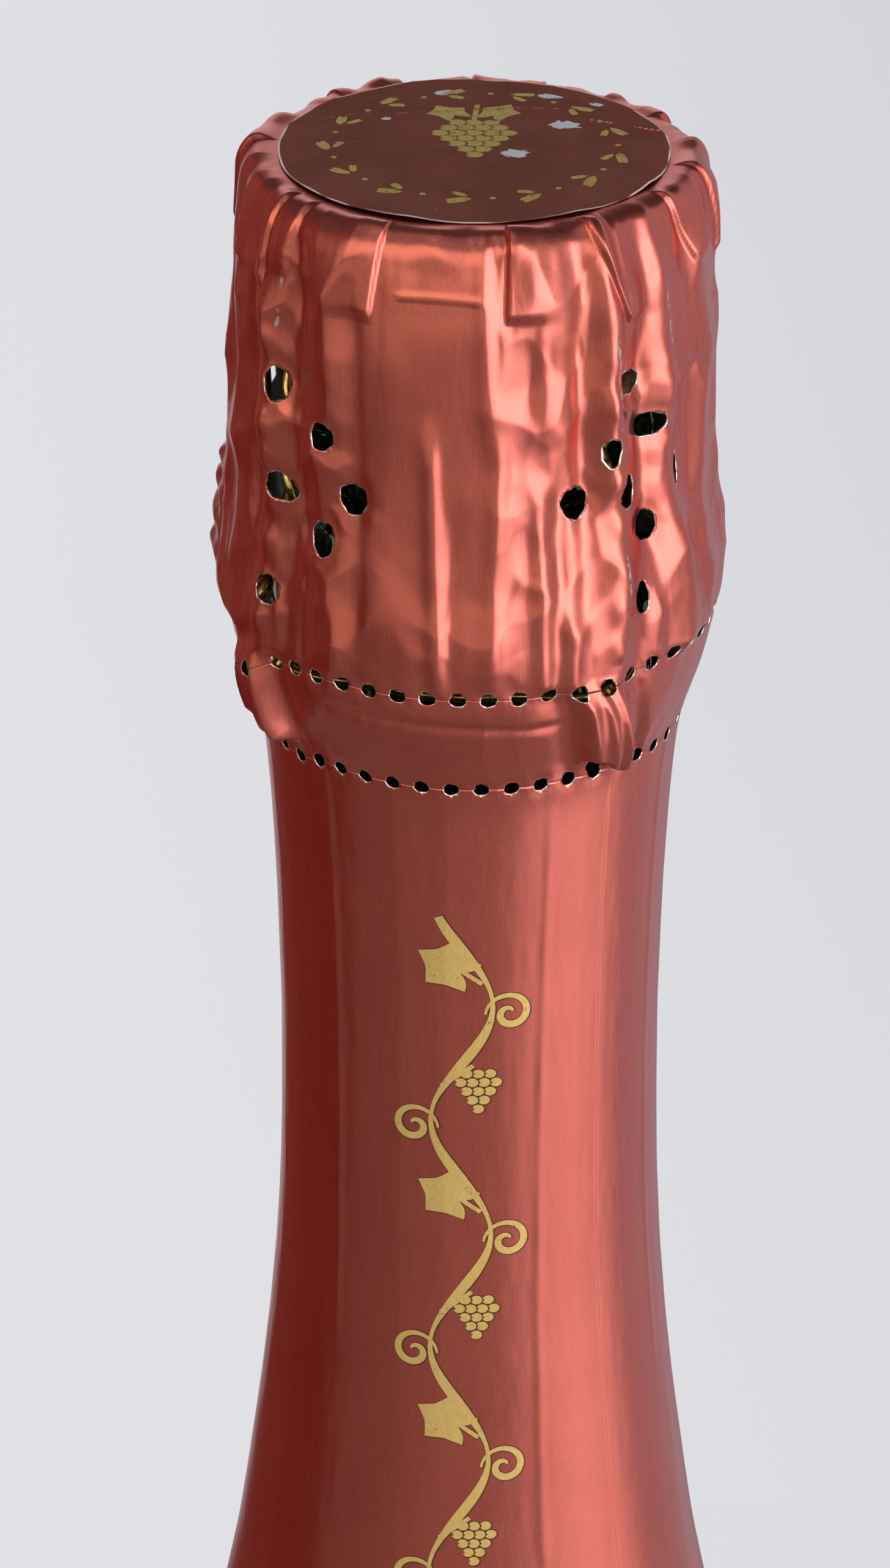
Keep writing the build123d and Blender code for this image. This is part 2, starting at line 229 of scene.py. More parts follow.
def eased_section():
    """The section's travel, drop, radius and normal at close steps, with its corners rounded."""
    drop, radius = np.array(section).T
    travel = np.concatenate([[0], np.cumsum(np.hypot(np.diff(drop), np.diff(radius)))])
    even = np.arange(0, travel[-1], 0.1)
    drop, radius = np.interp(even, travel, drop), np.interp(even, travel, radius)
    for width, share in ((5, even < 12), (16, smooth(even, 9, 12))):
        reach = 3 * width
        taps = np.exp(-(np.arange(-reach, reach + 1) / width) ** 2 / 2)
        taps /= taps.sum()
        drop, radius = (
            v + (np.convolve(np.pad(v, reach, "reflect", reflect_type="odd"), taps, "valid") - v)
            * share for v in (drop, radius))
    out, up = np.gradient(drop), np.gradient(radius)
    size = np.hypot(out, up)
    return even, drop, radius, out / size, up / size


def link(name, data):
    obj = bpy.data.objects.new(name, data)
    bpy.context.scene.collection.objects.link(obj)
    return obj


def new_object(name, verts, faces, materials, attributes=None):
    mesh = bpy.data.meshes.new(name)
    mesh.from_pydata((np.asarray(verts, float) * MM).tolist(), [],
                     [list(map(int, f)) for f in faces])
    for key, values in (attributes or {}).items():
        layer = mesh.attributes.new(name=key, type="FLOAT", domain="POINT")
        layer.data.foreach_set("value", np.asarray(values, np.float32))
    mesh.polygons.foreach_set("use_smooth", [True] * len(mesh.polygons))
    mesh.validate()
    for material in materials:
        mesh.materials.append(material)
    return link(name, mesh)


def grid_object(name, points, materials, keep=None, closed=True, attributes=None, flip=False):
    """A surface through rows of points. Rows run down and columns towards larger azimuths."""
    rows, cols = points.shape[:2]
    index = np.arange(rows * cols).reshape(rows, cols)
    after = np.roll(index, -1, axis=1)
    quads = np.stack([index[:-1], index[1:], after[1:], after[:-1]], axis=-1)
    if not closed:
        quads = quads[:, :-1]
    if flip:
        quads = quads[..., ::-1]
    quads = quads.reshape(-1, 4) if keep is None else quads[keep]
    used = np.zeros(rows * cols, bool)
    used[quads.ravel()] = True
    renumber = np.cumsum(used) - 1
    flat = points.reshape(-1, 3)[used]
    picked = {k: v.ravel()[used] for k, v in (attributes or {}).items()}
    return new_object(name, flat, renumber[quads], materials, picked)


def turned(name, profile, material, segments, relief, body, slot, node):
    """A closed profile of radius and height turned round the axis, with a relief on it."""
    r, z = (np.repeat(v[:, None], segments, axis=1) for v in np.array(profile, float).T)
    azimuth = np.broadcast_to(np.arange(segments) * 360 / segments, r.shape)
    r, z = relief(azimuth, r, z)
    obj = grid_object(name, around(azimuth, r, 0, z), [material])
    place(obj, body, slot, node)
    return obj


def arc(centre, radius, start, end, count):
    angles = np.radians(np.linspace(start, end, count + 1))
    return [(centre[0] + radius * cos(t), centre[1] + radius * sin(t)) for t in angles]


def rounded(points, steps=2):
    """A Catmull-Rom line through points, so that a wire has no corners."""
    p = np.array([points[0], *points, points[-1]], float)
    out = []
    for i in range(1, len(p) - 2):
        for t in np.arange(steps) / steps:
            out.append(0.5 * (
                2 * p[i] + (p[i + 1] - p[i - 1]) * t
                + (2 * p[i - 1] - 5 * p[i] + 4 * p[i + 1] - p[i + 2]) * t**2
                + (3 * p[i] - p[i - 1] - 3 * p[i + 1] + p[i + 2]) * t**3
            ))
    return out + [p[-2]]


def place(obj, body, slot, *nodes):
    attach(obj, body)
    if nodes:
        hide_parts(*nodes)


class Nodes:
    """A node tree, with short calls for the nodes that this scene uses."""

    def __init__(self, owner):
        owner.use_nodes = True
        self.owner, self.tree = owner, owner.node_tree

    def put(self, socket, value):
        if hasattr(value, "is_output"):
            self.tree.links.new(value, socket)
        else:
            socket.default_value = value

    def add(self, kind, inputs, **settings):
        """The outputs of a new node with its settings, and its inputs set or linked."""
        node = self.tree.nodes.new("ShaderNode" + kind)
        for key, value in settings.items():
            setattr(node, key, value)
        for key, value in inputs.items():
            self.put(node.inputs[key], value)
        return node.outputs

    def finish(self, **inputs):
        """The material, with inputs of its shader set or linked."""
        for key, value in inputs.items():
            self.put(self.tree.nodes["Principled BSDF"].inputs[key.replace("_", " ")], value)
        return self.owner

    def coords(self, stretch=(1, 1, 1)):
        return self.add("Mapping", {"Vector": self.add("TexCoord", {})["Object"],
                                    "Scale": [s / MM for s in stretch]})["Vector"]

    def noise(self, scale, detail=3.0, rough=0.55, stretch=(1, 1, 1)):
        return self.add("TexNoise", {"Vector": self.coords(stretch), "Scale": scale,
                                     "Detail": detail, "Roughness": rough})["Fac"]

    def voronoi(self, scale, output, feature="F1"):
        return self.add("TexVoronoi", {"Vector": self.coords(), "Scale": scale},
                        feature=feature)[output]

    def ramp(self, value, low, high, out_low=0.0, out_high=1.0):
        return self.add("MapRange", {
            "Value": value, "From Min": low, "From Max": high, "To Min": out_low,
            "To Max": out_high}, interpolation_type="SMOOTHSTEP")["Result"]

    def mix(self, factor, a, b):
        """One colour turning into another. The node's sockets for colours are 6, 7 and 2."""
        a, b = (c if hasattr(c, "is_output") else (*c, 1.0) for c in (a, b))
        return self.add("Mix", {0: factor, 6: a, 7: b}, data_type="RGBA")[2]

    def tint(self, colour, value, low, high, other, most=1.0):
        """The colour, turning into another as a value goes from low to high."""
        return self.mix(self.ramp(value, low, high, 0.0, most), colour, other)

    def math(self, kind, a, b):
        return self.add("Math", {0: a, 1: b}, operation=kind)[0]

    def attribute(self, name, output="Fac"):
        return self.add("Attribute", {}, attribute_name=name)[output]

    def bump(self, height, distance, strength=0.4):
        self.finish(Normal=self.add("Bump", {
            "Distance": distance * MM, "Strength": strength, "Height": height})["Normal"])


def new_material(name):
    return Nodes(bpy.data.materials.new(name))


def foil_material():
    """Lacquered foil: brushed upright grain, fine specks, and bare metal at its cut edges."""
    n = new_material("rose_copper_foil")
    grain = n.noise(9.0, 4.0, 0.6, (1, 1, 0.03))
    band = n.noise(0.9, 2.0, stretch=(1, 1, 0.015))
    spots = n.ramp(n.voronoi(1.6, "Distance"), 0.05, 0.11, 0.45, 0.0)
    colour = n.mix(n.ramp(grain, 0.3, 0.7), (0.69, 0.17, 0.138), (0.74, 0.19, 0.155))
    colour = n.tint(colour, band, 0.35, 0.65, (0.7, 0.2, 0.13), 0.3)
    colour = n.tint(colour, n.noise(0.12), 0.4, 0.7, (0.58, 0.12, 0.11), 0.22)
    colour = n.mix(spots, colour, (0.22, 0.05, 0.04))
    flake = n.ramp(n.noise(2.2, 4.0, 0.7), 0.35, 0.55)
    worn = n.math("MULTIPLY", n.attribute("bare"), flake)
    colour = n.tint(colour, worn, 0.3, 0.62, (0.8, 0.79, 0.8))
    fine = n.noise(3.2, 3.0, 0.5, (1, 1, 0.5))
    n.bump(n.math("ADD", fine, n.math("MULTIPLY", grain, 0.3)), 0.008, 0.5)
    return n.finish(Base_Color=colour, Metallic=1.0, Roughness=n.ramp(grain, 0.3, 0.7, 0.25, 0.29),
                    Coat_Weight=0.07, Coat_Roughness=0.12)


def grained(name, grain, colours, gloss, metallic, wear=None, **inputs):
    """A material whose tone, gloss and relief follow one grain, with a worn second tone."""
    n = new_material(name)
    tone = n.noise(*grain)
    colour = n.mix(tone, *colours)
    if wear:
        wear_grain, low, high, worn, most = wear
        colour = n.tint(colour, n.noise(*wear_grain), low, high, worn, most)
    n.bump(tone, 0.01)
    return n.finish(Base_Color=colour, Metallic=metallic,
                    Roughness=n.ramp(tone, 0.3, 0.7, *gloss), **inputs)


def disc_material():
    """The top disc: dark maroon lacquer with a fine linen grain, cracks and chips."""
    n = new_material("maroon_disc")
    linen = n.noise(5.0, 2.0, 0.5)
    colour = n.mix(n.ramp(n.noise(0.16), 0.35, 0.65), (0.1, 0.034, 0.025), (0.12, 0.041, 0.03))
    colour = n.tint(colour, linen, 0.4, 0.7, (0.14, 0.05, 0.04), 0.3)
    colour = n.tint(colour, n.attribute("crease"), 0.2, 0.9, (0.62, 0.16, 0.11))
    colour = n.tint(colour, n.attribute("chip"), 0.35, 0.6, (0.34, 0.35, 0.38))
    # The bare cut edge: a pale line all round, which also serves as a painted highlight along the
    # rim
    colour = n.tint(colour, n.attribute("bare"), 0.3, 0.7, (0.5, 0.4, 0.4))
    n.bump(linen, 0.02, 0.35)
    return n.finish(Base_Color=colour, Roughness=n.ramp(linen, 0.3, 0.7, 0.38, 0.52),
                    Specular_IOR_Level=0.0)


def tin_material():
    n = new_material("tinned_sheet")
    grain = n.noise(2.2, 4.0, 0.6)
    scratch = n.noise(4.0, 3.0, stretch=(1, 0.06, 1))
    colour = n.mix(grain, (0.56, 0.56, 0.55), (0.74, 0.74, 0.72))
    n.bump(scratch, 0.012)
    return n.finish(Base_Color=n.tint(colour, scratch, 0.6, 0.7, (0.4, 0.39, 0.37), 0.5),
                    Metallic=1.0, Roughness=n.ramp(grain, 0.3, 0.7, 0.25, 0.42))


def agglomerate_material():
    """Pressed cork granules: cells of several browns with dark joints."""
    n = new_material("agglomerate_cork")
    cell = n.voronoi(0.62, "Color")
    joint = n.voronoi(0.62, "Distance", "DISTANCE_TO_EDGE")
    fine = n.noise(2.5, 4.0, 0.6)
    cloud = n.math("MULTIPLY", n.math("SUBTRACT", n.noise(0.5), 0.5), 0.9)
    tone = n.ramp(n.math("ADD", cell, cloud), 0.25, 0.85)
    colour = n.mix(tone, (0.3, 0.165, 0.07), (0.6, 0.39, 0.2))
    colour = n.tint(colour, fine, 0.4, 0.72, (0.7, 0.5, 0.29), 0.65)
    colour = n.mix(n.ramp(joint, 0.0, 0.11, 0.4, 0.0), colour, (0.2, 0.11, 0.05))
    colour = n.tint(colour, n.noise(1.1, 2.0), 0.66, 0.71, (0.13, 0.065, 0.03))
    n.bump(n.math("ADD", n.ramp(joint, 0.0, 0.08), fine), 0.12, 0.6)
    return n.finish(Base_Color=colour, Roughness=n.ramp(fine, 0.3, 0.7, 0.7, 0.9),
                    Specular_IOR_Level=0.25)


def natural_material():
    """A disc of natural cork: soft growth lines and short dark pores."""
    n = new_material("natural_cork")
    pore = n.noise(1.4, 3.0, 0.6, (0.5, 1, 1.6))
    fine = n.noise(3.0)
    colour = n.mix(n.noise(0.9, stretch=(0.2, 1, 1)), (0.52, 0.33, 0.17), (0.74, 0.54, 0.33))
    n.bump(n.math("SUBTRACT", fine, n.ramp(pore, 0.62, 0.72)), 0.1, 0.6)
    return n.finish(Base_Color=n.tint(colour, pore, 0.64, 0.72, (0.16, 0.08, 0.04)),
                    Roughness=n.ramp(fine, 0.3, 0.7, 0.7, 0.88), Specular_IOR_Level=0.25)


def glass_material():
    """Thick dark green bottle glass with a faintly wavy surface and light dust."""
    n = new_material("green_glass")
    wave = n.noise(0.06, 2.0, stretch=(1, 1, 0.4))
    n.bump(wave, 0.15, 0.5)
    return n.finish(Base_Color=n.mix(wave, (0.11, 0.19, 0.055), (0.14, 0.23, 0.07)),
                    Roughness=n.ramp(n.noise(1.2, 4.0, 0.65), 0.45, 0.8, 0.03, 0.14),
                    Transmission_Weight=1.0, IOR=1.52)


def floor_material():
    """A pale floor that glows with painted light besides its lamplight, the glow painted a little
    dimmer to the picture's right.
    """
    n = new_material("pale_floor")
    cloud = n.noise(0.004, 2.0)
    # Painted light: the floor's glow, fading from left to right
    across = n.ramp(n.coords((3, 0, 0)), -200, 260)
    return n.finish(Base_Color=n.mix(cloud, (0.165, 0.166, 0.171), (0.175, 0.176, 0.181)),
                    Roughness=0.75, Specular_IOR_Level=0.1, Emission_Strength=0.85,
                    Emission_Color=n.mix(across, (0.75, 0.75, 0.775), (0.63, 0.635, 0.675)))


travel_line, drop_line, radius_line, out_line, up_line = eased_section()

foil = foil_material()
foil_inside = grained("foil_inside", (6.0, 3.0, 0.55, (1, 1, 0.1)),
                      ((0.6, 0.6, 0.61), (0.78, 0.78, 0.79)), (0.3, 0.45), 1.0)
maroon = disc_material()
gold = grained("printed_gold", (6.0, 4.0, 0.6, (1, 1, 0.3)),
               ((0.68, 0.43, 0.11), (0.88, 0.62, 0.22)), (0.28, 0.42), 0.45,
               ((1.6, 4.0, 0.7), 0.62, 0.7, (0.3, 0.13, 0.04), 1.0))
# The disc's print: thinner and duller than the neck's, and cracked with the lacquer
dull_gold = grained("dull_gold", (3.0, 4.0, 0.6), ((0.22, 0.15, 0.026), (0.36, 0.26, 0.05)),
                    (0.4, 0.55), 0.25, ((1.4, 4.0, 0.7), 0.56, 0.66, (0.09, 0.035, 0.015), 0.8),
                    Specular_IOR_Level=0.15)
# A painted shadow for the neck's print: a dark print under it, which stands in for the shadow along
# its pressed edge
painted_print_shadow = grained("print_painted_shadow", (5.0, 3.0), ((0.09, 0.025, 0.01), (0.16, 0.05, 0.02)),
                (0.35, 0.5), 0.4)
brass = grained("brass_wire", (3.0, 4.0, 0.6), ((0.72, 0.5, 0.16), (0.88, 0.66, 0.28)),
                (0.2, 0.36), 1.0, ((0.5, 3.0), 0.55, 0.8, (0.34, 0.2, 0.07), 0.6))
tin = tin_material()
agglomerate = agglomerate_material()
natural = natural_material()
glass = glass_material()


def upper_drop(azimuth):
    """How far below the top the upper tear line runs."""
    return 37.8 + 1.9 * bump(gap(azimuth, -64), 12) - 0.55 * bump(gap(azimuth, 52), 14)


def lower_drop(azimuth):
    return 46.8 + 0.75 * bump(gap(azimuth, -55), 9) + 0.35 * bump(gap(azimuth, 62), 15)


def mm_per_degree(radius):
    return radius * pi / 180


# Holes of the hood: azimuth, drop, half width, half height
vents = [
    (-50.4, 23.2, 1.45, 1.2), (-51.6, 14.8, 1.05, 1.35), (-37.3, 17.7, 0.95, 1.15),
    (-29.3, 22.4, 1.18, 1.25), (-37.6, 26.3, 1.15, 1.4), (-53.7, 32.1, 1.2, 1.2),
    (38.8, 22.4, 0.95, 1.35), (40.1, 13.6, 1.2, 0.9), (47.3, 17.8, 1.5, 0.95),
    (33.1, 18.5, 0.75, 1.2), (24.6, 22.4, 1.15, 1.25), (45.7, 26.0, 1.05, 1.2),
    (41.9, 31.4, 0.7, 1.35), (56.9, 22.5, 0.4, 1.3),
]
for centre in (130.0, -140.0):
    vents.append((centre, 22.8, 1.0, 1.1))
    for i in range(8):
        t = 2 * pi * i / 8
        vents.append((centre + 20.5 * sin(t), 22.8 + 8.7 * cos(t), 0.95, 1.1 + 0.1 * sin(5 * t)))

# Folded pleats of the hood's top: azimuth, slant in degrees per millimetre, length, height, width
pleats = [
    (-22.5, -0.35, 6.6, 0.6, -17.0), (8.2, -0.1, 6.2, 0.66, 15.0), (27.5, 1.2, 7.5, 0.6, 13.0),
    (-46.5, -0.5, 5.0, 0.36, -13.0), (-54.5, -0.3, 6.4, 0.4, -10.0), (57.0, 1.2, 5.5, 0.45, 14.0),
    (-76.0, 0.3, 6.5, 0.38, 12.0), (79.0, 0.5, 7.0, 0.42, 14.0),
]
for i, centre in enumerate(np.linspace(98, 262, 9)):
    pleats.append((float(centre), 0.4 * sin(3.1 * i), 5.5 + 1.4 * cos(2.3 * i),
                   0.38 + 0.08 * sin(1.7 * i), 13.0 if i % 2 else -13.0))

# Long soft folds of the hood's side: azimuth, slant, from, to, height, width in degrees
folds = [
    (3.2, 0.1, 3.0, 14.0, 0.34, 2.4), (12.0, -0.3, 7.0, 12.0, -0.16, 2.4),
    (17.5, 0.3, 4.0, 13.0, 0.22, 3.0), (6.0, -0.1, 18.0, 34.0, 0.3, 2.6),
    (-10.5, 0.12, 19.0, 35.0, 0.36, 2.2), (-3.0, -0.1, 25.0, 34.0, -0.16, 2.4),
    (-20.0, -0.1, 12.0, 32.0, 0.16, 4.0), (-29.0, 0.05, 9.0, 38.0, -0.24, 3.0),
    (-44.0, 0.1, 6.0, 36.0, -0.36, 3.0), (-61.0, 0.0, 6.0, 37.0, -0.36, 3.2),
    (15.0, 0.05, 24.0, 36.0, 0.32, 2.2), (21.5, -0.1, 22.0, 37.0, -0.3, 2.4),
    (26.0, 0.15, 4.0, 21.0, -0.42, 3.4), (32.6, 0.1, 4.0, 20.0, 0.5, 2.6),
    (38.0, 0.2, 3.0, 13.0, -0.3, 1.6), (44.5, 0.2, 14.0, 37.0, -0.42, 3.0),
    (52.0, 0.3, 3.0, 14.0, 0.4, 3.0), (51.5, 0.25, 16.0, 36.0, 0.3, 3.0),
    (62.0, 0.1, 3.0, 36.0, -0.3, 3.2), (70.0, 0.0, 5.0, 34.0, 0.28, 3.4),
    (-73.0, 0.1, 5.0, 34.0, 0.28, 3.6), (-82.0, 0.0, 3.0, 30.0, -0.25, 3.4),
]
for i, centre in enumerate(np.linspace(86, 252, 15)):
    folds.append((float(centre + 3 * sin(2.1 * i)), 0.1 * cos(i), 4.0 + 2 * sin(i), 34.0,
                  0.3 * (-1) ** i, 3.2 + 0.8 * cos(1.3 * i)))


def hood_relief(azimuth, drop):
    """How far the hood's foil stands off its smooth section, from its pleats to its dents."""
    relief = np.zeros_like(azimuth)
    for centre, slant, length, height, width in pleats:
        off = gap(azimuth, centre + slant * drop) / width
        tooth = smooth(off, -0.04, 0.02) * (1 - smooth(off, 0.0, 1.0))
        relief += height * tooth * window(drop, -1.0, length, 1.2)
    for centre, slant, start, end, height, width in folds:
        off = gap(azimuth, centre + slant * (drop - 15))
        relief += height * bump(off, width) * window(drop, start, end, 5.0)
    for centre in leg_azimuths:
        off = gap(azimuth, centre + 0.7 * np.sin(drop / 3.1))
        relief += 0.62 * bump(off, 3.6) * window(drop, 9.0, 39.0, 5.0)
        relief += 0.12 * bump(off, 2.6) * np.sin(drop * 2 * pi / 3.4) * window(drop, 12, 36, 3.0)
        relief -= 0.28 * (bump(off - 8.5, 3.0) + bump(off + 8.5, 3.0)) * window(drop, 6, 34, 6.0)
    side = window(drop, 3.0, 36.0, 4.0)
    calm = window(gap(azimuth, -12), -14, 13, 8) * window(drop, 7, 26, 6)
    relief += 0.13 * noise(azimuth, drop, 16, 11.0, 3) * side
    relief += 0.66 * (facets(azimuth, drop, 150, 8, 12.0, 6.0) - 0.2) * side * (1 - 0.9 * calm)
    relief += 0.22 * (facets(azimuth, drop, 420, 11, 6.5, 3.0) - 0.25) * window(drop, 1, 35, 3) * (
        1 - 0.93 * calm)
    relief += 0.03 * ridges(azimuth, drop, 60, 14.0, 5) * side
    relief += 0.006 * noise(azimuth, drop, 220, 2.4, 7)
    boxed = window(gap(azimuth, -78), -62, 30, 24)
    relief += 0.22 * boxed * bump(drop - 2.6, 2.0)
    lip = drop - 5.5 - 0.15 * np.sin(np.radians(azimuth) * 9)
    relief += (0.1 * (1 - smooth(lip, 0, 0.35)) + 0.05 * bump(lip + 0.15, 0.25)) * window(
        gap(azimuth, -8), -9, 8, 3) * window(drop, 3.0, 7.0, 2.0)
    relief += 0.12 * bump(drop - 7.5, 5.0) * window(gap(azimuth, -6), -14, 12, 3)
    return relief


def band_relief(azimuth, drop):
    """The belly of the tear band, with the bulges of the cage's feet pressing it out."""
    relief = np.zeros_like(azimuth)
    for centre, lean, foot in ((-60.0, 0.6, 45.2), (31.0, 0.8, 46.0), (125.0, -0.5, 45.5),
                               (-145.0, 0.4, 45.5)):
        off = gap(azimuth, centre + lean * (drop - 41))
        off = off + 2.0 * noise(azimuth, drop, 30, 3.6, 17)
        flat = 20.2 + 0.06 * (np.minimum(drop, 39.5) - 37) - 0.04 * np.maximum(drop - 39.5, 0) ** 2
        flat = flat - np.interp(drop, drop_line, radius_line)
        hang = foot - 1.2 + 0.9 * np.sin(off / 2.4)
        pressed = window(off, -3.4, 4.6, 4.4) * (1 - smooth(drop, hang, hang + 1.3)) * smooth(
            drop, 34.5, 37.5)
        relief += flat * pressed
        relief += (0.22 * bump(off + 3.6, 1.6) + 0.26 * bump(off - 0.8, 1.2) + 0.36 * bump(
            off - 4.4, 1.7)) * pressed
        relief += 0.3 * (facets(azimuth, drop, 420, 11, 5.0, 2.2) - 0.25) * pressed
        relief -= 0.3 * (bump(off - 11, 3.0) + bump(off + 10, 3.0)) * window(drop, 38, 45, 3.0)
    relief -= 0.14 * bump(drop - 40.6 - 0.6 * np.sin(np.radians(azimuth * 2)), 0.45) * window(
        gap(azimuth, -8), -22, 24, 8)
    relief += 0.1 * noise(azimuth, drop, 18, 4.0, 13)
    relief += 0.05 * ridges(azimuth, drop, 60, 6.0, 14)
    relief += 0.015 * noise(azimuth, drop, 220, 1.2, 15)
    return relief


def neck_relief(azimuth, drop):
    """The neck foil lies close: long soft flats, one lapped seam and a few faint creases."""
    below = smooth(drop, 47.5, 52.0)
    relief = 0.07 * noise(azimuth, drop, 12, 30.0, 23)
    relief += 0.04 * ridges(azimuth, drop, 26, 46.0, 24)
    relief += 0.012 * noise(azimuth, drop, 150, 3.0, 25)
    seam = gap(azimuth, 41.0 + 0.03 * (drop - 80))
    relief += 0.1 * smooth(seam, -0.25, 0.25) * (1 - smooth(seam, 0.5, 24)) * below
    for centre, lean, start, end, depth in ((-43, 0.02, 50, 96, 0.09), (22, -0.03, 56, 120, 0.07),
                                            (66, 0.05, 50, 104, 0.1), (140, 0.0, 52, 130, 0.1),
                                            (-120, 0.04, 50, 118, 0.1)):
        off = gap(azimuth, centre + lean * (drop - 60))
        relief += depth * bump(off, 1.6) * window(drop, start, end, 9.0)
    return relief


def foil_relief(azimuth, drop):
    """One relief for the whole foil, so that its three pieces meet at the tear lines."""
    upper = smooth(drop, 36.6, 39.0)
    lower = smooth(drop, 46.0, 48.4)
    azimuth = np.broadcast_to(azimuth, drop.shape)
    relief = np.zeros(drop.shape)
    for part, share in ((hood_relief, 1 - upper), (band_relief, upper * (1 - lower)),
                        (neck_relief, lower)):
        on = share > 0
        if on.any():
            relief[on] += share[on] * part(azimuth[on], drop[on])
    return relief


def side_radius(azimuth, drop):
    return np.interp(drop, drop_line, radius_line) + foil_relief(azimuth, drop)


def foil_points(azimuth, travel, push):
    """Points of the foil at a travel outwards over the flat top, round its edge and down."""
    drop, base, out, up = (np.interp(travel, travel_line, line)
                           for line in (drop_line, radius_line, out_line, up_line))
    relief = (foil_relief(azimuth, drop) + push) * smooth(base + drop, disc_r + 0.5, disc_r + 2.6)
    return around(azimuth, base + relief * out, 0, top_h - drop + relief * up)


def travel_at(drop):
    """The travel down the foil at which a drop is reached, on its side."""
    below = drop_line > 1
    return np.interp(drop, drop_line[below], travel_line[below])


def travel_of_height(height):
    return travel_at(top_h - height)


def face_mean(values):
    """The mean of a grid's values at the four corners of each face."""
    pairs = values + np.roll(values, -1, axis=1)
    return (pairs[:-1] + pairs[1:]) / 4


def corners(faces):
    """The vertices of a grid that the marked faces have as corners."""
    across = faces | np.roll(faces, 1, axis=1)
    empty = np.zeros((1, faces.shape[1]), bool)
    return np.concatenate([across, empty]) | np.concatenate([empty, across])


def cut_holes(azimuth, travel, holes, radius):
    """Open holes in a grid: faces inside go, and the vertices on the rim move onto it."""
    scale = mm_per_degree(radius)
    keep = np.ones((azimuth.shape[0] - 1, azimuth.shape[1]), bool)
    edge = np.full(azimuth.shape, 9.0)
    movable = np.ones(azimuth.shape, bool)
    movable[[0, -1]] = False
    for number, (a, t, half_w, half_h) in enumerate(holes):
        x = gap(azimuth, a) * scale / half_w
        y = (travel - t) / half_h
        angle = np.arctan2(y, x)
        rim = 1 + 0.05 * np.sin(3 * angle + number) + 0.035 * np.sin(7 * angle + 2.3 * number)
        d = np.hypot(x, y) / rim
        after = np.roll(d, -1, axis=1)
        inside = np.hypot(face_mean(x), face_mean(y)) < 1
        gone = inside & (np.maximum(d, after)[:-1] < 4)
        keep &= ~gone
        on_rim = corners(gone) & corners(~gone & (np.minimum(d, after)[:-1] < 4))
        off_centre = np.maximum(d, 1e-3)
        azimuth = np.where(on_rim, a + x / off_centre * half_w / scale, azimuth)
        travel = np.where(on_rim & movable, t + y / off_centre * half_h, travel)
        edge = np.minimum(edge, np.where(on_rim, 0.0, np.abs(d - 1) * min(half_w, half_h)))
    return azimuth, travel, keep, edge


def thicken(obj, thickness=foil_t):
    solid = obj.modifiers.new("thickness", "SOLIDIFY")
    solid.thickness = thickness * MM
    solid.offset = -1.0
    solid.material_offset = 1
    solid.material_offset_rim = 0
    return obj


def tear_holes(count, phase, drop_at):
    return [(a, float(travel_at(drop_at(a))), hole_r, hole_r)
            for a in (phase + i * 360 / count for i in range(count))]


# Scratches through the lacquer: azimuth, drop, length, slant in degrees per millimetre
scratches = ((34.5, 13.0, 7.0, 0.25), (-51.0, 8.0, 4.5, -0.3), (36.5, 29.5, 4.0, 0.1),
             (-61.5, 40.5, 2.0, 2.0), (52.0, 9.0, 5.0, 0.6), (150.0, 16.0, 6.0, 0.3))


def bare_edges(azimuth, travel, edge):
    """Where the lacquer is off: round the punched holes, and in a few scratched places."""
    bare = np.clip((1.2 - edge / bare_w) * (
        0.75 + 0.45 * noise(azimuth, travel, 300, 0.7, 32)), 0, 1)
    ragged = 0.65 + 0.65 * noise(azimuth, travel, 400, 0.5, 31)
    for a, drop, length, slant in scratches:
        t = travel_at(drop)
        off = gap(azimuth, a + slant * (travel - t)) * 0.33
        scratch = bump(off, 0.16) * window(travel, t - length / 2, t + length / 2, 0.8)
        bare = np.maximum(bare, scratch * ragged)
    return bare


def foil_skin(name, body, node, azimuth, travel, edge, push, keep=None, closed=True):
    """A piece of foil, pushed off its smooth section by its relief and a push of its own."""
    obj = grid_object(name, foil_points(azimuth, travel, push), [foil, foil_inside], keep, closed,
                      {"bare": bare_edges(azimuth, travel, edge)})
    place(thicken(obj), body, "copper_foil", node)


def foil_sheet(name, body, node, share, start, end, holes, radius, near_tear=1.0, foot=False):
    """A piece of foil all the way round between two lines, with its holes and the key's slot."""
    share = share[:, None]
    azimuth = np.broadcast_to(foil_azimuths, (len(share), foil_cols))
    azimuth, travel, keep, edge = cut_holes(
        azimuth, start + share * (end - start), holes, radius)
    if foot:
        edge = np.minimum(edge, np.abs(travel - end) * 1.5)
    middle = gap((azimuth[:-1] + azimuth[1:]) / 2, key_azimuth) + 180 / foil_cols
    down = (travel[:-1] + travel[1:]) / 2
    keep &= (np.abs(middle) * mm_per_degree(hood_side_r) >= slot_half_w) | (
        down <= travel_of_height(slot_top_h)) | (down >= travel_of_height(slot_low_h))
    push = -(0.16 - 0.11 * near_tear) * bump(edge, 0.9 - 0.4 * near_tear)
    foil_skin(name, body, node, azimuth, travel, edge, push, keep)


foil_azimuths = np.arange(foil_cols) * 360 / foil_cols - 180
upper_line, lower_line = (travel_at(d(foil_azimuths)) for d in (upper_drop, lower_drop))
upper_holes = tear_holes(upper_count, upper_phase, upper_drop)
lower_holes = tear_holes(lower_count, lower_phase, lower_drop)


def hood():
    """The foil hood down to the upper tear line, with its vents, half holes and key slot."""
    share = np.concatenate([np.linspace(0, 0.93, 210), np.linspace(0.93, 1, 32)[1:]])
    holes = [(a, travel_at(d), w, h) for a, d, w, h in vents] + upper_holes
    foil_sheet("foil_hood_skin", "hood", "foil_hood", share, hood_start, upper_line, holes,
               hood_side_r, smooth(share, 0.88, 0.92)[:, None])


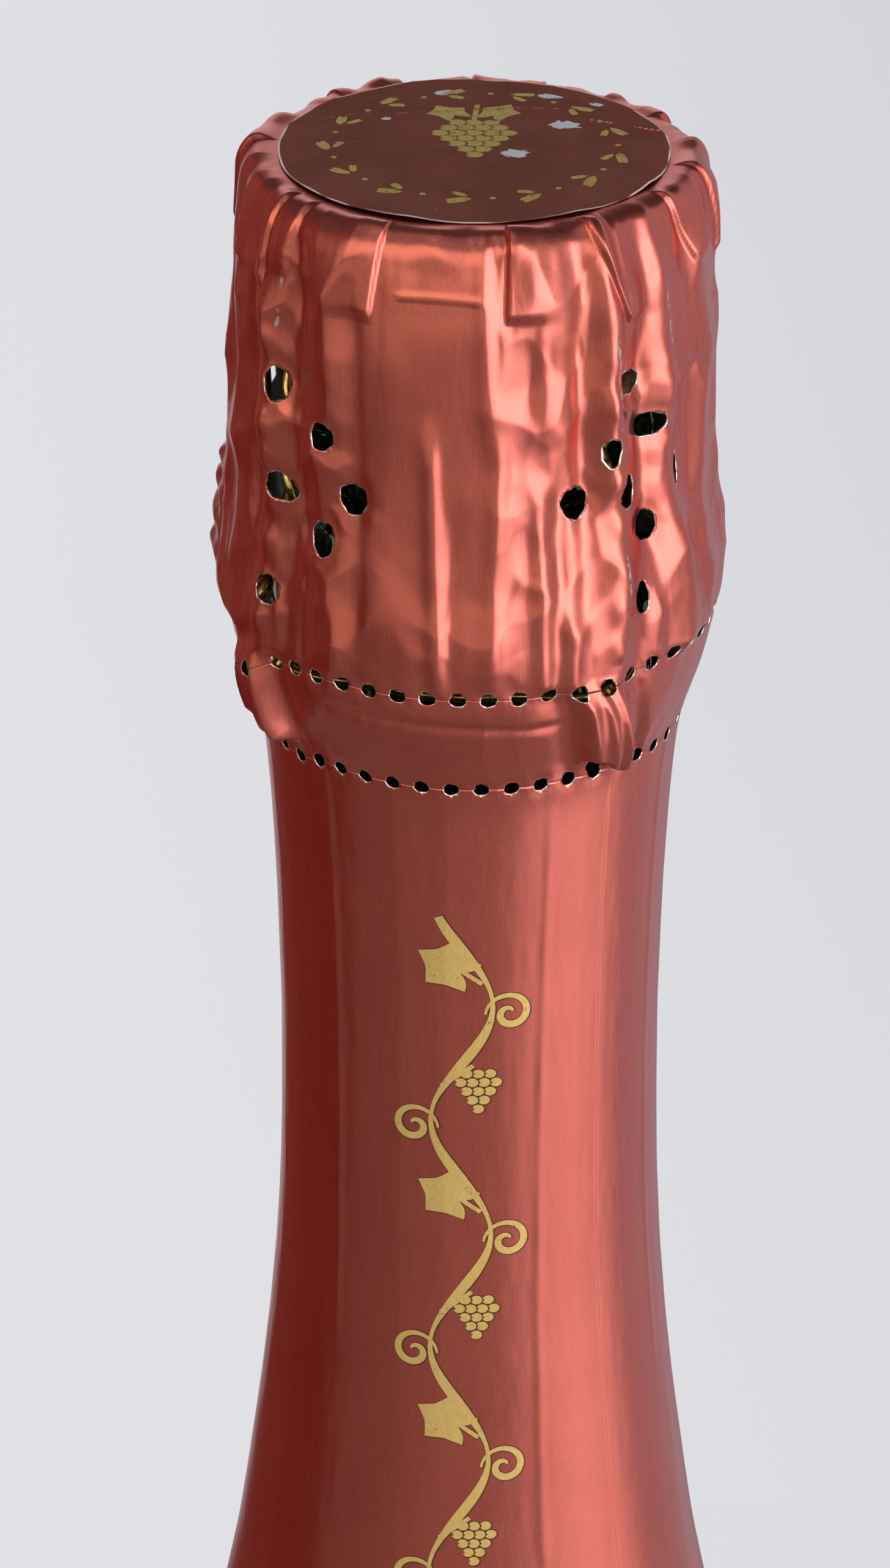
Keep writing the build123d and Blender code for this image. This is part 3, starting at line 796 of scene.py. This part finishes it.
def band():
    """The tear band between the two tear lines, open behind the key as the slot is."""
    holes = upper_holes + lower_holes + [(32.9, travel_at(46.0), 0.75, 0.95)]
    foil_sheet("tear_band_skin", "bottle", "tear_band", np.linspace(0, 1, 84), upper_line,
               lower_line, holes, hood_side_r)


def neck():
    """The neck foil, from the lower tear line down over the bottle's shoulder."""
    share = np.concatenate([np.linspace(0, 0.03, 14), np.linspace(0.03, 1, 231)[1:]])
    ragged = 0.25 * noise(foil_azimuths, 0, 60, 1.0, 41)
    foil_sheet("neck_foil_skin", "bottle", "neck_foil", share, lower_line,
               travel_at(foil_foot_drop - 0.4) + ragged, lower_holes, neck_side_r, foot=True)


def flap():
    """The piece of foil over the twist key, bulged out and torn along its lower edge."""
    rows, cols = 96, 44
    half = (slot_half_w - 0.06) / mm_per_degree(hood_side_r)
    azimuth = np.broadcast_to(key_azimuth + np.linspace(-half, half, cols), (rows, cols))
    share = np.linspace(0, 1, rows)[:, None]
    start = travel_of_height(slot_top_h) + 0.06
    ragged = 0.5 * noise(azimuth[0], 0, 110, 1.0, 51)
    end = travel_of_height(flap_foot_h) + ragged
    travel = start + share * (end - start)
    across = gap(azimuth, key_azimuth) / half
    stem = travel_of_height(belt_h + key_stem_h)
    bulge = 0.5 * (1 - across**4) * smooth(share, 0.05, 0.4)
    beads = 0.62 + 0.38 * np.cos((travel - stem) * 2 * pi / bead_pitch)
    near_wire = 0.35 * (1 - across**2) + 0.65 * bump(across * slot_half_w, 2.3)
    bulge = bulge + 0.8 * beads * near_wire * window(travel, stem - 3.6, stem + 6.2, 1.0)
    bulge = bulge + 0.2 * (facets(azimuth, travel, 420, 12, 6.0, 3.0) - 0.3) * (1 - across**2)
    edge = np.minimum((1 - share) * (end - start), (1 - np.abs(across)) * slot_half_w)
    foil_skin("key_foil_skin", "key", "key_foil_flap", azimuth, travel, edge, bulge, closed=False)


# Creases of the disc: start and end as x and y, with y away from the camera, and their height
creases = (
    ((14.6, 3.6), (9.0, 5.4), 0.16), ((-6.0, 6.6), (1.0, 8.0), 0.1), ((1.0, 8.0), (8.0, 7.6), 0.12),
    ((-12.6, 5.8), (-8.0, 6.8), 0.12), ((-13.5, -3.0), (-8.6, 1.0), 0.06),
    ((-3.2, -9.5), (-2.6, -14.6), 0.06), ((-4.6, 3.0), (-7.0, -1.5), 0.05),
    ((6.0, 13.0), (10.5, 9.0), 0.08), ((10.0, -8.0), (14.0, -5.6), 0.06),
)
# Chips of its lacquer: x, y, half width, half height
chips = (
    (7.0, 4.3, 1.25, 0.55), (3.2, -1.9, 1.1, 0.5), (-2.2, 11.3, 0.9, 0.35), (6.0, 10.6, 1.2, 0.4),
    (-6.8, 5.4, 0.4, 0.2), (9.6, 9.3, 0.5, 0.25),
)


def segment_distance(spot, start, end):
    """How far spots on the disc, as complex numbers, lie from a line between two points."""
    start, ahead = complex(*start), complex(*end) - complex(*start)
    t = np.clip(((spot - start) * np.conj(ahead)).real / abs(ahead) ** 2, 0, 1)
    return np.abs(spot - start - t * ahead)


def disc_sag(spot):
    """How far the disc lies below its highest plane."""
    r = np.abs(spot)
    azimuth = np.degrees(np.arctan2(spot.real, -spot.imag))
    sag = 0.03 + 0.16 * facets(azimuth, 12 + r, 90, 61, 26.0, 4.0) * smooth(r, 2, 8)
    sag += smooth(r, 10.6, 15.2) * (0.16 + 0.3 * np.abs(noise(azimuth, r * 0.6, 15, 4.0, 62)))
    for start, end, height in creases:
        near = segment_distance(spot, start, end)
        sag += height * (0.4 * bump(near - 0.45, 0.4) - 0.25 * bump(near, 0.16))
    return np.clip(sag, 0.0, 0.44)


def top_disc():
    """The glued top disc: thin, creased, chipped, with a bare cut edge whose pale line is also a
    painted highlight.
    """
    rows, cols = 110, 320
    azimuth = np.broadcast_to(np.arange(cols) * 360 / cols - 180, (rows, cols))
    uneven = 0.09 * noise(azimuth, 0, 17, 1.0, 66) - 0.03
    r = np.linspace(0.02, 1, rows)[:, None] ** 0.8 * (disc_r - 0.1 + uneven)
    points = around(azimuth, r, 0, top_h)
    spot = points[..., 0] + 1j * points[..., 1]
    points[..., 2] -= disc_sag(spot)
    broken = 0.55 + 0.45 * noise(azimuth, r, 200, 0.6, 63)
    crease = broken * np.max([bump(segment_distance(spot, start, end), 0.11) * height * 9
                              for start, end, height in creases], axis=0)
    ragged = 0.3 * noise(azimuth, r, 160, 0.7, 64)
    chip = np.max([1 - smooth(np.hypot((spot.real - x) / half_w, (spot.imag - y) / half_h / 1.6)
                              + ragged, 0.8, 1.05) for x, y, half_w, half_h in chips], axis=0)
    # A pale rim: the bare cut edge, and also a painted highlight along it
    bare = smooth(r / r[-1], 0.985, 0.996) * (0.65 + 0.45 * noise(azimuth, r, 60, 9.0, 65))
    obj = grid_object("top_disc_skin", points, [maroon, foil_inside],
                      attributes={"crease": crease, "chip": chip, "bare": bare})
    place(thicken(obj, disc_t), "hood", "maroon_disc", "top_disc")


# The prints are drawn flat, with a point's x and y as a complex number.
def ribbon(line, widths):
    """A flat band along a line: the points left, on and right of it, and its faces."""
    ahead = np.gradient(line)
    across = 1j * ahead / np.abs(ahead) * widths / 2
    count = len(line)
    faces = [(i, i + count, i + count + 1, i + 1)
             for first in (0, count) for i in range(first, first + count - 1)]
    return np.concatenate([line + across, line, line - across]), faces


def leaf(centre, length, turn, lobes, depth=0.3):
    """A leaf with pointed lobes, as rings from its middle to its outline."""
    count, rings = 60, 5
    t = np.arange(count) * 2 * pi / count
    outline = 1 - depth * np.abs(np.sin(lobes * t / 2)) ** 0.8
    outline *= (1 - 0.45 * bump(gap(np.degrees(t), 180), 16)) * length / 2
    outline = outline * (1.15 * np.cos(t) + 1j * np.sin(t)) * np.exp(1j * radians(turn))
    verts = np.concatenate([[0], *(outline * k / rings for k in range(1, rings + 1))]) + centre
    faces = [(0, 1 + i, 1 + (i + 1) % count) for i in range(count)]
    for a in range(1, (rings - 1) * count, count):
        b = a + count
        faces += [(a + i, b + i, b + (i + 1) % count, a + (i + 1) % count) for i in range(count)]
    return verts, faces


def grapes(rows, top, across, down, size):
    """A bunch of round grapes under a point, with some in each of its rows."""
    return [leaf(top + (j - (many - 1) / 2) * across - 1j * row * down, size, 0, 0, 0.0)
            for row, many in enumerate(rows) for j in range(many)]


def curl(centre, side, spread):
    """A tendril: a spiral band that is widest in its middle."""
    t = np.linspace(0, 1, 40)
    turn = pi / 2 * (1 + side) - side * 2 * pi * 1.4 * t
    line = centre + 2.0 * (1 - 0.86 * t) * np.exp(1j * turn)
    return ribbon(line, 0.22 + 0.44 * np.sin(pi * t) + spread)


def join(parts):
    verts, faces, base = [], [], 0
    for v, f in parts:
        verts.append(v)
        faces += [tuple(base + i for i in face) for face in f]
        base += len(v)
    return np.concatenate(verts), faces


def vine(length, spread):
    """A climbing vine: a waving stem with tendrils, leaves and grapes, spread at its edges."""
    v = np.linspace(0, length, int(length * 3))
    wave, sway = 22.0, 2.5
    stem = sway * np.sin(2 * pi * v / wave) + 1j * v
    parts = [ribbon(stem, 0.62 + 0.28 * np.sin(4 * pi * v / wave + 1) + spread)]
    side = 1
    for k, at in enumerate(np.arange(3.0, length - 3, wave / 4)):
        spot = sway * sin(2 * pi * at / wave) + 1j * at
        if k % 2 == 0:
            parts.append(curl(spot + 2.0 * side + 1.8j, side, spread))
            side = -side
            continue
        if k % 4 == 1:
            parts.append(leaf(spot + 2.7 * side + 0.8j, 4.9 + spread, 90 - side * 62, 5))
            twig = np.linspace(spot - 0.8j, spot + 1.6 * side + 0.4j, 8)
        else:
            parts += grapes((3, 4, 3, 2, 1), spot + 3.0 * side + 1.6j, 0.96, 0.85, 0.84 + spread)
            twig = np.linspace(spot + 0.4j, spot + 2.6 * side + 2.4j, 8)
        parts.append(ribbon(twig, 0.4 + spread))
    return join(parts)


def neck_print(name, material, spread, rise, shift):
    start, end, centre = 59.0, 139.0, -2.5
    flat, faces = vine(end - start, spread)
    drop = end - (flat + shift).imag
    scale = mm_per_degree(np.interp(drop, drop_line, radius_line))
    azimuth = centre + (flat + shift).real / scale
    points = around(azimuth, side_radius(azimuth, drop) + rise, 0, top_h - drop)
    place(new_object(name, points, faces, [material]), "bottle", "copper_foil")


def neck_ornament():
    """The vine in gold over a painted shadow: a slightly wider dark print, set a little right and
    down, which stands in for the shadow along the vine's pressed edge.
    """
    # Painted shadow: the dark copy of the vine, shifted a little right and down under the gold
    neck_print("neck_vine_painted_shadow", painted_print_shadow, 0.16, 0.02, 0.05 - 0.06j)
    neck_print("neck_vine_print", gold, 0.0, 0.05, 0)


def disc_ornament():
    """A wreath of small leaves and dots round the disc, and a bunch of grapes within it."""
    parts = []
    count, radius = 26, 11.0
    for i in range(count):
        turn = 360 * i / count
        spot = radius * np.exp(1j * radians(turn))
        if i % 2:
            parts += [leaf(spot * 1.05, 2.1, turn + 112, 2, 0.62),
                      leaf(spot * 0.94, 1.5, turn + 64, 2, 0.62)]
        else:
            parts.append(leaf(spot, 0.45, 0, 0, 0.0))
    parts += grapes((3, 4, 5, 4, 3, 2, 1), 4.6j, 1.32, 1.14, 1.22)
    parts += [leaf(-1.9 + 6.9j, 3.6, 120, 5), leaf(1.9 + 6.9j, 3.6, 60, 5)]
    parts.append(ribbon(np.linspace(5j, 0.3 + 8.8j, 10), 0.42))
    flat, faces = join(parts)
    points = np.column_stack([flat.real, flat.imag, top_h - disc_sag(flat) + 0.012])
    place(new_object("disc_wreath_print", points, faces, [dull_gold]), "hood", "maroon_disc")


def wire(name, points, body, node):
    """A round wire through points, with its turn carried along and its ends closed."""
    path = np.array(rounded(points))
    ahead = np.gradient(path, axis=0)
    ahead /= np.linalg.norm(ahead, axis=1)[:, None]
    side = np.cross(ahead[0], (0.31, 0.52, 0.79))
    sides = 12
    t = np.arange(sides)[:, None] * 2 * pi / sides
    rings = []
    for p, d in zip(path, ahead):
        side = side - d * side.dot(d)
        side /= np.linalg.norm(side)
        rings.append(p + round_wire_r * (np.cos(t) * side + np.sin(t) * np.cross(d, side)))
    last = (len(path) - 1) * sides
    faces = [(i + j, i + (j + 1) % sides, i + sides + (j + 1) % sides, i + sides + j)
             for i in range(0, last, sides) for j in range(sides)]
    faces += [tuple(range(sides))[::-1], tuple(range(last, last + sides))]
    place(new_object(name, np.concatenate(rings), faces, [brass]), body, "brass_wire", node)


def strand(azimuth, hand, turns, start, end):
    """One of two twisted strands, between two ends that are given as radius and height."""
    share = np.linspace(0, 1, round(turns * 14) + 1)
    phase = np.radians(90 * hand + 360 * turns * share)
    radius, height = (a + (b - a) * share for a, b in zip(start, end))
    return around(azimuth, radius + strand_offset * np.cos(phase), strand_offset * np.sin(phase),
                  height)


def leg_points(azimuth, hand):
    return strand(azimuth, hand, leg_turns, (leg_top_r, leg_top_h), (leg_foot_r, leg_foot_h))


def over_points(azimuth, hand):
    """A strand from its leg's top over the cap's edge and round into the crown."""
    t = np.linspace(0, pi / 2, 7)
    rise = around(azimuth, turn_centre_r + over_r * np.cos(t), strand_offset * hand,
                  crown_h - over_r + over_r * np.sin(t))
    t = np.linspace(0, atan2(turn_centre_r, strand_offset + crown_bend_r), 6)[1:]
    side = hand * (strand_offset + crown_bend_r - crown_bend_r * np.cos(t))
    bend = around(azimuth, turn_centre_r - crown_bend_r * np.sin(t), side, crown_h)
    return np.concatenate([rise, bend])


def cage_wire(number, azimuth):
    """An eye and a strand up one leg, a quarter of the crown, and a strand down the next leg."""
    following = azimuth + 90
    lead = degrees(atan2(strand_offset + crown_bend_r, turn_centre_r))
    t = np.linspace(radians(60), -pi, 16)
    eye = around(azimuth, eye_centre_r + eye_r * np.cos(t), 0, belt_h + eye_r * np.sin(t))
    crown = around(np.linspace(azimuth + lead, following - lead, 16)[1:-1], crown_r, 0, crown_h)
    points = np.concatenate([eye, leg_points(azimuth, 1)[::-1], over_points(azimuth, 1), crown,
                             over_points(following, -1)[::-1], leg_points(following, -1)])
    wire(f"cage_wire_round_{number}", points, "cage", f"cage_wire_{number}")


def belt():
    azimuth = np.linspace(key_azimuth + 9, key_azimuth + 351, 115)
    from_leg = (azimuth - leg_azimuths[0] + 45) % 90 - 45
    lift = np.sin(pi / 2 * np.maximum(0, 1 - np.abs(from_leg) / 26)) ** 2
    radius = belt_in_r + (eye_centre_r - belt_in_r) * lift
    end_r = key_r - wire_r * 2 - 0.2
    end_angle = degrees((strand_offset + 0.09) / end_r)
    azimuth = [key_azimuth + end_angle, *azimuth, key_azimuth - end_angle]
    points = around(azimuth, np.array([end_r, *radius, end_r]), 0, belt_h)
    wire("belt_wire_round", points, "cage", "belt_wire")


def key():
    half_w, half_h = key_loop_w / 2, key_loop_h / 2
    start = np.arcsin(strand_offset / half_w)
    stem_top_h = belt_h + key_stem_h
    up, down = (strand(key_azimuth, hand, key_turns, (key_r, belt_h), (key_r, stem_top_h))
                for hand in (1, -1))
    t = np.linspace(start, 2 * pi - start, 40)[1:-1]
    loop = around(key_azimuth, key_r, -half_w * np.sin(t), stem_top_h + half_h * (1 - np.cos(t)))
    wire("twist_key_round", np.concatenate([up, loop, down[::-1]]), "key", "twist_key")


def plaque():
    """The pressed cap: a plain rim, a raised middle and a rosette pressed into it."""
    t, outer, dome, lift = 0.35, 13.4, 10.9, 0.8
    rim_h = cork_top_h + t
    dome_h = rim_h + lift
    flat_r = dome - lift - 0.3
    profile = [(0.02, dome_h), *np.linspace((0.3, dome_h), (flat_r, dome_h), 46)]
    profile += arc((flat_r, dome_h - 0.3), 0.3, 80, 40, 4)
    profile += arc((dome + 0.25, rim_h + 0.25), 0.25, 230, 270, 4)
    profile += [*np.linspace((dome + 0.5, rim_h), (outer - 0.2, rim_h), 8)]
    profile += arc((outer - t / 2, cork_top_h + t / 2), t / 2, 80, -90, 8)
    profile += [(r, cork_top_h + 0.01) for r in (dome, 6.0, 0.02)]

    def relief(azimuth, r, z):
        petal = 0.5 + 0.5 * np.cos(np.radians(azimuth) * 8)
        flower = smooth(petal - r / 9.0, -0.05, 0.12) * smooth(r, 0.3, 1.2)
        pressed = 0.22 * flower + 0.2 * bump(r - 8.6, 0.3)
        return r, np.where(z > dome_h - 0.05, z - pressed, z)

    turned("cap_plaque_pressed", profile, tin, 240, relief, "cage", "tinned_steel",
           "cap_plaque")


def cork():
    """The cork's body: a swelled head pressed by the wires, and the straight stem."""
    under_h, foot_h = glass_h + 0.22, stem_foot_h + 12.02
    profile = [(0.02, cork_top_h), *np.linspace((1.5, cork_top_h), (12.4, cork_top_h), 10)]
    profile += arc((12.4, cork_top_h - 2.4), 2.4, 88, 30, 8)
    profile += [(r, cork_top_h - drop) for r, drop in (
        (14.95, 3.0), (15.3, 4.6), (15.38, 7), (15.38, 10), (15.25, 13), (14.7, 15.6),
        (13.9, 16.9))]
    profile += [(r, under_h) for r in (13.2, 12.0, 10.5, stem_r)]
    profile += [*np.linspace((stem_r, glass_h - 0.6), (stem_r, stem_foot_h + 12.1), 16)]
    profile += [(8.7, foot_h), (5.0, foot_h), (0.02, foot_h)]

    def relief(azimuth, r, z):
        above = z > glass_h + 0.4
        rough = 0.05 * noise(azimuth, z, 90, 1.5, 71) + 0.06 * noise(azimuth, z, 20, 5.0, 72)
        dent = sum(0.3 * bump(gap(azimuth, centre) * 0.27, 0.8) for centre in leg_azimuths)
        r = np.where(above & (r > 12.6), r - dent + np.minimum(rough, 0.03) - 0.03, r)
        return r, np.where(above & (r < 12.6) & (z > cork_top_h - 0.5), z - 0.02, z)

    turned("cork_body_turned", profile, agglomerate, 200, relief, "cork", "agglomerate_cork",
           "cork_body")


def cork_disc(name, foot_h):
    bottom, top = foot_h + 0.02, foot_h + 5.98
    profile = [(0.02, top), (4.0, top), (stem_r - 0.25, top)]
    profile += arc((stem_r - 0.2, top - 0.2), 0.2, 90, 0, 5)
    profile += [*np.linspace((stem_r, top - 0.8), (stem_r, bottom + 0.8), 6)]
    profile += arc((stem_r - 0.2, bottom + 0.2), 0.2, 0, -90, 5)
    profile += [(4.0, bottom), (0.02, bottom)]

    def relief(azimuth, r, z):
        return np.where(r > 5, r - 0.03 + 0.03 * noise(azimuth, z, 120, 1.0, 81), r), z

    turned(name + "_turned", profile, natural, 160, relief, "cork", "natural_cork", name)


def bottle():
    """The glass, turned with smooth arcs: foot, punt, body, shoulder, neck, ring and lip."""
    round_r = 1.1
    lip_low_h, ring_top_h = glass_h - lip_h, ring_bottom_h + ring_h
    shoulder = (body_r - round_arc_r, body_h)
    hollow = (waist_r + hollow_arc_r, waist_h)
    outer = arc((lip_r - round_r, glass_h - round_r), round_r, 90, 0, 6)
    outer += [(lip_r, lip_low_h + 1.2), (lip_r - 0.3, lip_low_h + 0.4), (collar_r, lip_low_h),
              (collar_r, ring_top_h + 1.2)]
    outer += arc((ring_r - round_r, ring_top_h - round_r), round_r, 80, 0, 6)
    outer += arc((ring_r - round_r, ring_bottom_h + round_r), round_r, 0, -80, 6)
    outer += [(groove_r, ring_bottom_h), (groove_r, belt_h - 0.9), (waist_r, neck_top_h),
              (waist_r, waist_h + 8)]
    outer += arc(hollow, hollow_arc_r, 180, 180 + shoulder_angle, 40)
    outer += arc(shoulder, round_arc_r, shoulder_angle, 0, 24)
    outer += [*np.linspace((body_r, body_h - 6), (body_r, heel_r + 6), 8)]
    outer += arc((body_r - heel_r, heel_r), heel_r, 0, -78, 12)
    outer += [(body_r - heel_r - 1.6, 0.05), (foot_in_r + 1.4, 0.0), (foot_in_r + 0.4, 0.3)]
    punt = [(34.4, 0.8), (32.5, 4.2), (29.5, 9.6), (25.5, 16.2), (21, 22.0), (16, 26.8),
            (11, 30.0), (6, 31.6), (2.5, 32.0), (0.02, 32.0)]
    inner = [(0.02, 38.0), (4.0, 37.8), (10, 36.4), (16, 33.4), (21.5, 29.0), (26.5, 22.6),
             (30.5, 15.6), (33.6, 9.4), (36.2, 6.4), (39.4, 6.2), (41.8, 8.0), (cavity_r, 11.0)]
    inner += [*np.linspace((cavity_r, 20), (cavity_r, body_h), 8)]
    inner += arc(shoulder, round_arc_r - wall_t, 3, shoulder_angle - 1, 14)
    inner += arc(hollow, hollow_arc_r + wall_t, 180 + shoulder_angle - 1, 180, 24)
    inner += [(bore_r + 0.6, glass_h - 42), (bore_r, glass_h - 34), (bore_r, glass_h - 18),
              (bore_r, glass_h - 1.4)]
    inner += arc((bore_r + round_r, glass_h - round_r), round_r, 180, 100, 5)

    def relief(azimuth, r, z):
        """Faint waves and two mould seams on the body, and knurling under the foot."""
        seam = np.maximum(bump(gap(azimuth, 90), 0.35), bump(gap(azimuth, -90), 0.35))
        outside = np.zeros_like(r)
        outside[: len(outer)] = 1.0
        wave = 0.06 * noise(azimuth, z, 10, 24.0, 91)
        free = outside * smooth(z, 9, 20) * (1 - smooth(z, 225, 255))
        r = r + free * (wave - 0.14 + 0.07 * seam)
        knurl = 0.14 * (0.5 + 0.5 * np.cos(np.radians(azimuth) * 120))
        return r, z + outside * bump(r - (foot_in_r + 3.6), 2.6) * (z < 3) * knurl

    profile = outer + punt + inner
    obj = turned("glass_bottle_turned", profile + profile[:1], glass, 240, relief, "bottle",
                 "green_glass", "glass_bottle")
    obj.modifiers.new("weld", "WELD").merge_threshold = 0.001 * MM


def stage_floor():
    rim = around(np.arange(0, 360, 2.5), floor_r, 0, 0)
    new_object("floor", rim, [range(len(rim))], [floor_material()])


# Cards all the way up: azimuths, softness of their ends and colour
plain_cards = (
    (-76, 20, 7, (0.19, 0.15, 0.13)), (-30, 40, 30, (0.13, 0.12, 0.11)),
    (-150, -76, 12, (0.15, 0.022, 0.012)), (94, 158, 9, (0.42, 0.39, 0.45)),
    (164, 206, 9, (0.62, 0.62, 0.66)),
)


def glow_at(azimuth, height):
    """The light that the studio's cards send out at an azimuth and height, as red, green, blue."""
    def card(low, high, soft, colour, share=1.0):
        off = np.abs(gap(azimuth, (low + high) / 2)) - (high - low) / 2
        return ((1 - smooth(off, -soft, soft)) * share)[..., None] * np.array(colour)

    turn = gap(azimuth, 0)
    glow = sum(card(*plain) for plain in plain_cards)
    right = smooth(turn, 11, 50) * (1 - smooth(turn, 82, 100))
    right *= 0.35 + 0.65 * smooth(height, 15, 70)
    right *= 1 - 0.6 * smooth(height, 130, 150) * smooth(turn, 50, 74)
    right *= 0.92 + 0.22 * bump(turn - 66, 12)
    glow = glow + right[..., None] * np.array((0.98, 0.92, 0.92))
    glow = glow + card(15, 54, 8, (1.9, 1.92, 1.98),
                       window(height, 222, 440, 20) + 0.28 * window(height, 176, 224, 12))
    glow = glow + card(-68, 6, 14, (1.12, 1.06, 0.8),
                       window(height, 330, 440, 12) + 0.42 * window(height, 238, 268, 10))
    glow = glow * (1 - smooth(height, 425, 470))[..., None]
    below = card(-170, 170, 10, (0.2, 0.165, 0.15)) + 0.06 * bump(turn - 45, 50)[..., None]
    above = smooth(height, 300, 430)[..., None] * np.array((0.045, 0.035, 0.035))
    return np.where((height > card_low + 0.5)[..., None], glow, below) + above + 0.012


def studio_cards():
    """Cards round the bottle, out of every camera's sight, that its foil mirrors."""
    profile = np.concatenate([
        np.linspace((4, card_top), (card_far - 6, card_top), 6),
        np.linspace((card_far, card_top - 1), (card_far, card_low), 49),
        np.linspace((card_far - 6, card_low), (56, card_low), 8)])
    segments = 180
    radius, height = np.repeat(profile.T[..., None], segments, axis=2)
    azimuth = np.broadcast_to(np.arange(segments) * 360 / segments, radius.shape)
    n = new_material("studio_card")
    n.tree.nodes.remove(n.tree.nodes["Principled BSDF"])
    lit = n.add("Emission", {"Color": n.attribute("glow", "Color")})[0]
    n.put(n.tree.nodes["Material Output"].inputs["Surface"], lit)
    obj = grid_object("studio_cards", around(azimuth, radius, 0, height), [n.owner], flip=True)
    layer = obj.data.color_attributes.new(name="glow", type="FLOAT_COLOR", domain="POINT")
    glow = glow_at(azimuth, height).reshape(-1, 3)
    layer.data.foreach_set("color", np.column_stack([glow, np.ones(len(glow))]).ravel())
    for rays in ("camera", "diffuse", "transmission", "volume_scatter", "shadow"):
        setattr(obj, "visible_" + rays, False)


def world():
    """A pale bluish grey room, which lights the object less than it shows in it."""
    sky = bpy.data.worlds.new("studio")
    bpy.context.scene.world = sky
    n = Nodes(sky)
    path = n.add("LightPath", {})
    seen = n.math("MAXIMUM", path["Is Camera Ray"], path["Is Transmission Ray"])
    seen = n.math("MAXIMUM", seen, path["Is Glossy Ray"])
    back = n.tree.nodes["Background"].inputs
    n.put(back["Strength"], n.add("MapRange", {
        "Value": seen, "To Min": 0.32, "To Max": 1.0})["Result"])
    back["Color"].default_value = (0.63, 0.65, 0.7, 1.0)


def lamp(name, azimuth, distance, height, size, power, aim_h, colour=(1, 1, 1)):
    data = bpy.data.lights.new(name, "AREA")
    data.shape = "RECTANGLE"
    data.size, data.size_y = size[0] * MM, size[1] * MM
    data.energy = power
    data.color = colour
    obj = link(name, data)
    obj.location = (around(azimuth, distance, 0, height) * MM).tolist()
    direction = Vector((0, 0, aim_h * MM)) - obj.location
    obj.rotation_euler = direction.to_track_quat("-Z", "Y").to_euler()
    obj.visible_camera = False


def lights():
    lamp("right_softbox", 60, 520, 330, (560, 700), 3.2, 180)
    lamp("back_softbox", 193, 1300, 1500, (1200, 900), 8.0, 100)
    lamp("top_softbox", -30, 500, 1100, (700, 500), 4.0, 300)
    lamp("left_strip", -112, 620, 350, (120, 620), 0.8, 260, (1.0, 0.9, 0.85))


def camera():
    data = bpy.data.cameras.new("photo_camera")
    data.sensor_width = sensor_w
    data.lens = sensor_w * photo_focal_px / photo_long_px
    data.clip_start = 0.01
    obj = link("photo_camera", data)
    e = radians(camera_elevation)
    aim = np.array([aim_x, 0, top_h - aim_drop])
    where = aim + camera_distance * np.array([0, -cos(e), sin(e)])
    obj.location = (where * MM).tolist()
    turn = Euler((pi / 2 - e, 0, 0)).to_matrix()
    roll = Matrix.Rotation(radians(camera_roll), 3, "Z")
    obj.rotation_euler = (turn @ roll).to_euler()
    bpy.context.scene.camera = obj


stage_floor()
studio_cards()
world()
lights()
camera()
bottle()
neck()
band()
hood()
flap()
top_disc()
neck_ornament()
disc_ornament()
for number in range(1, 5):
    cage_wire(number, leg_azimuths[0] + 90 * (number - 1))
belt()
key()
plaque()
cork()
cork_disc("cork_disc_upper", stem_foot_h + 6.0)
cork_disc("cork_disc_lower", stem_foot_h)

bpy.context.scene.view_settings.view_transform = "Standard"
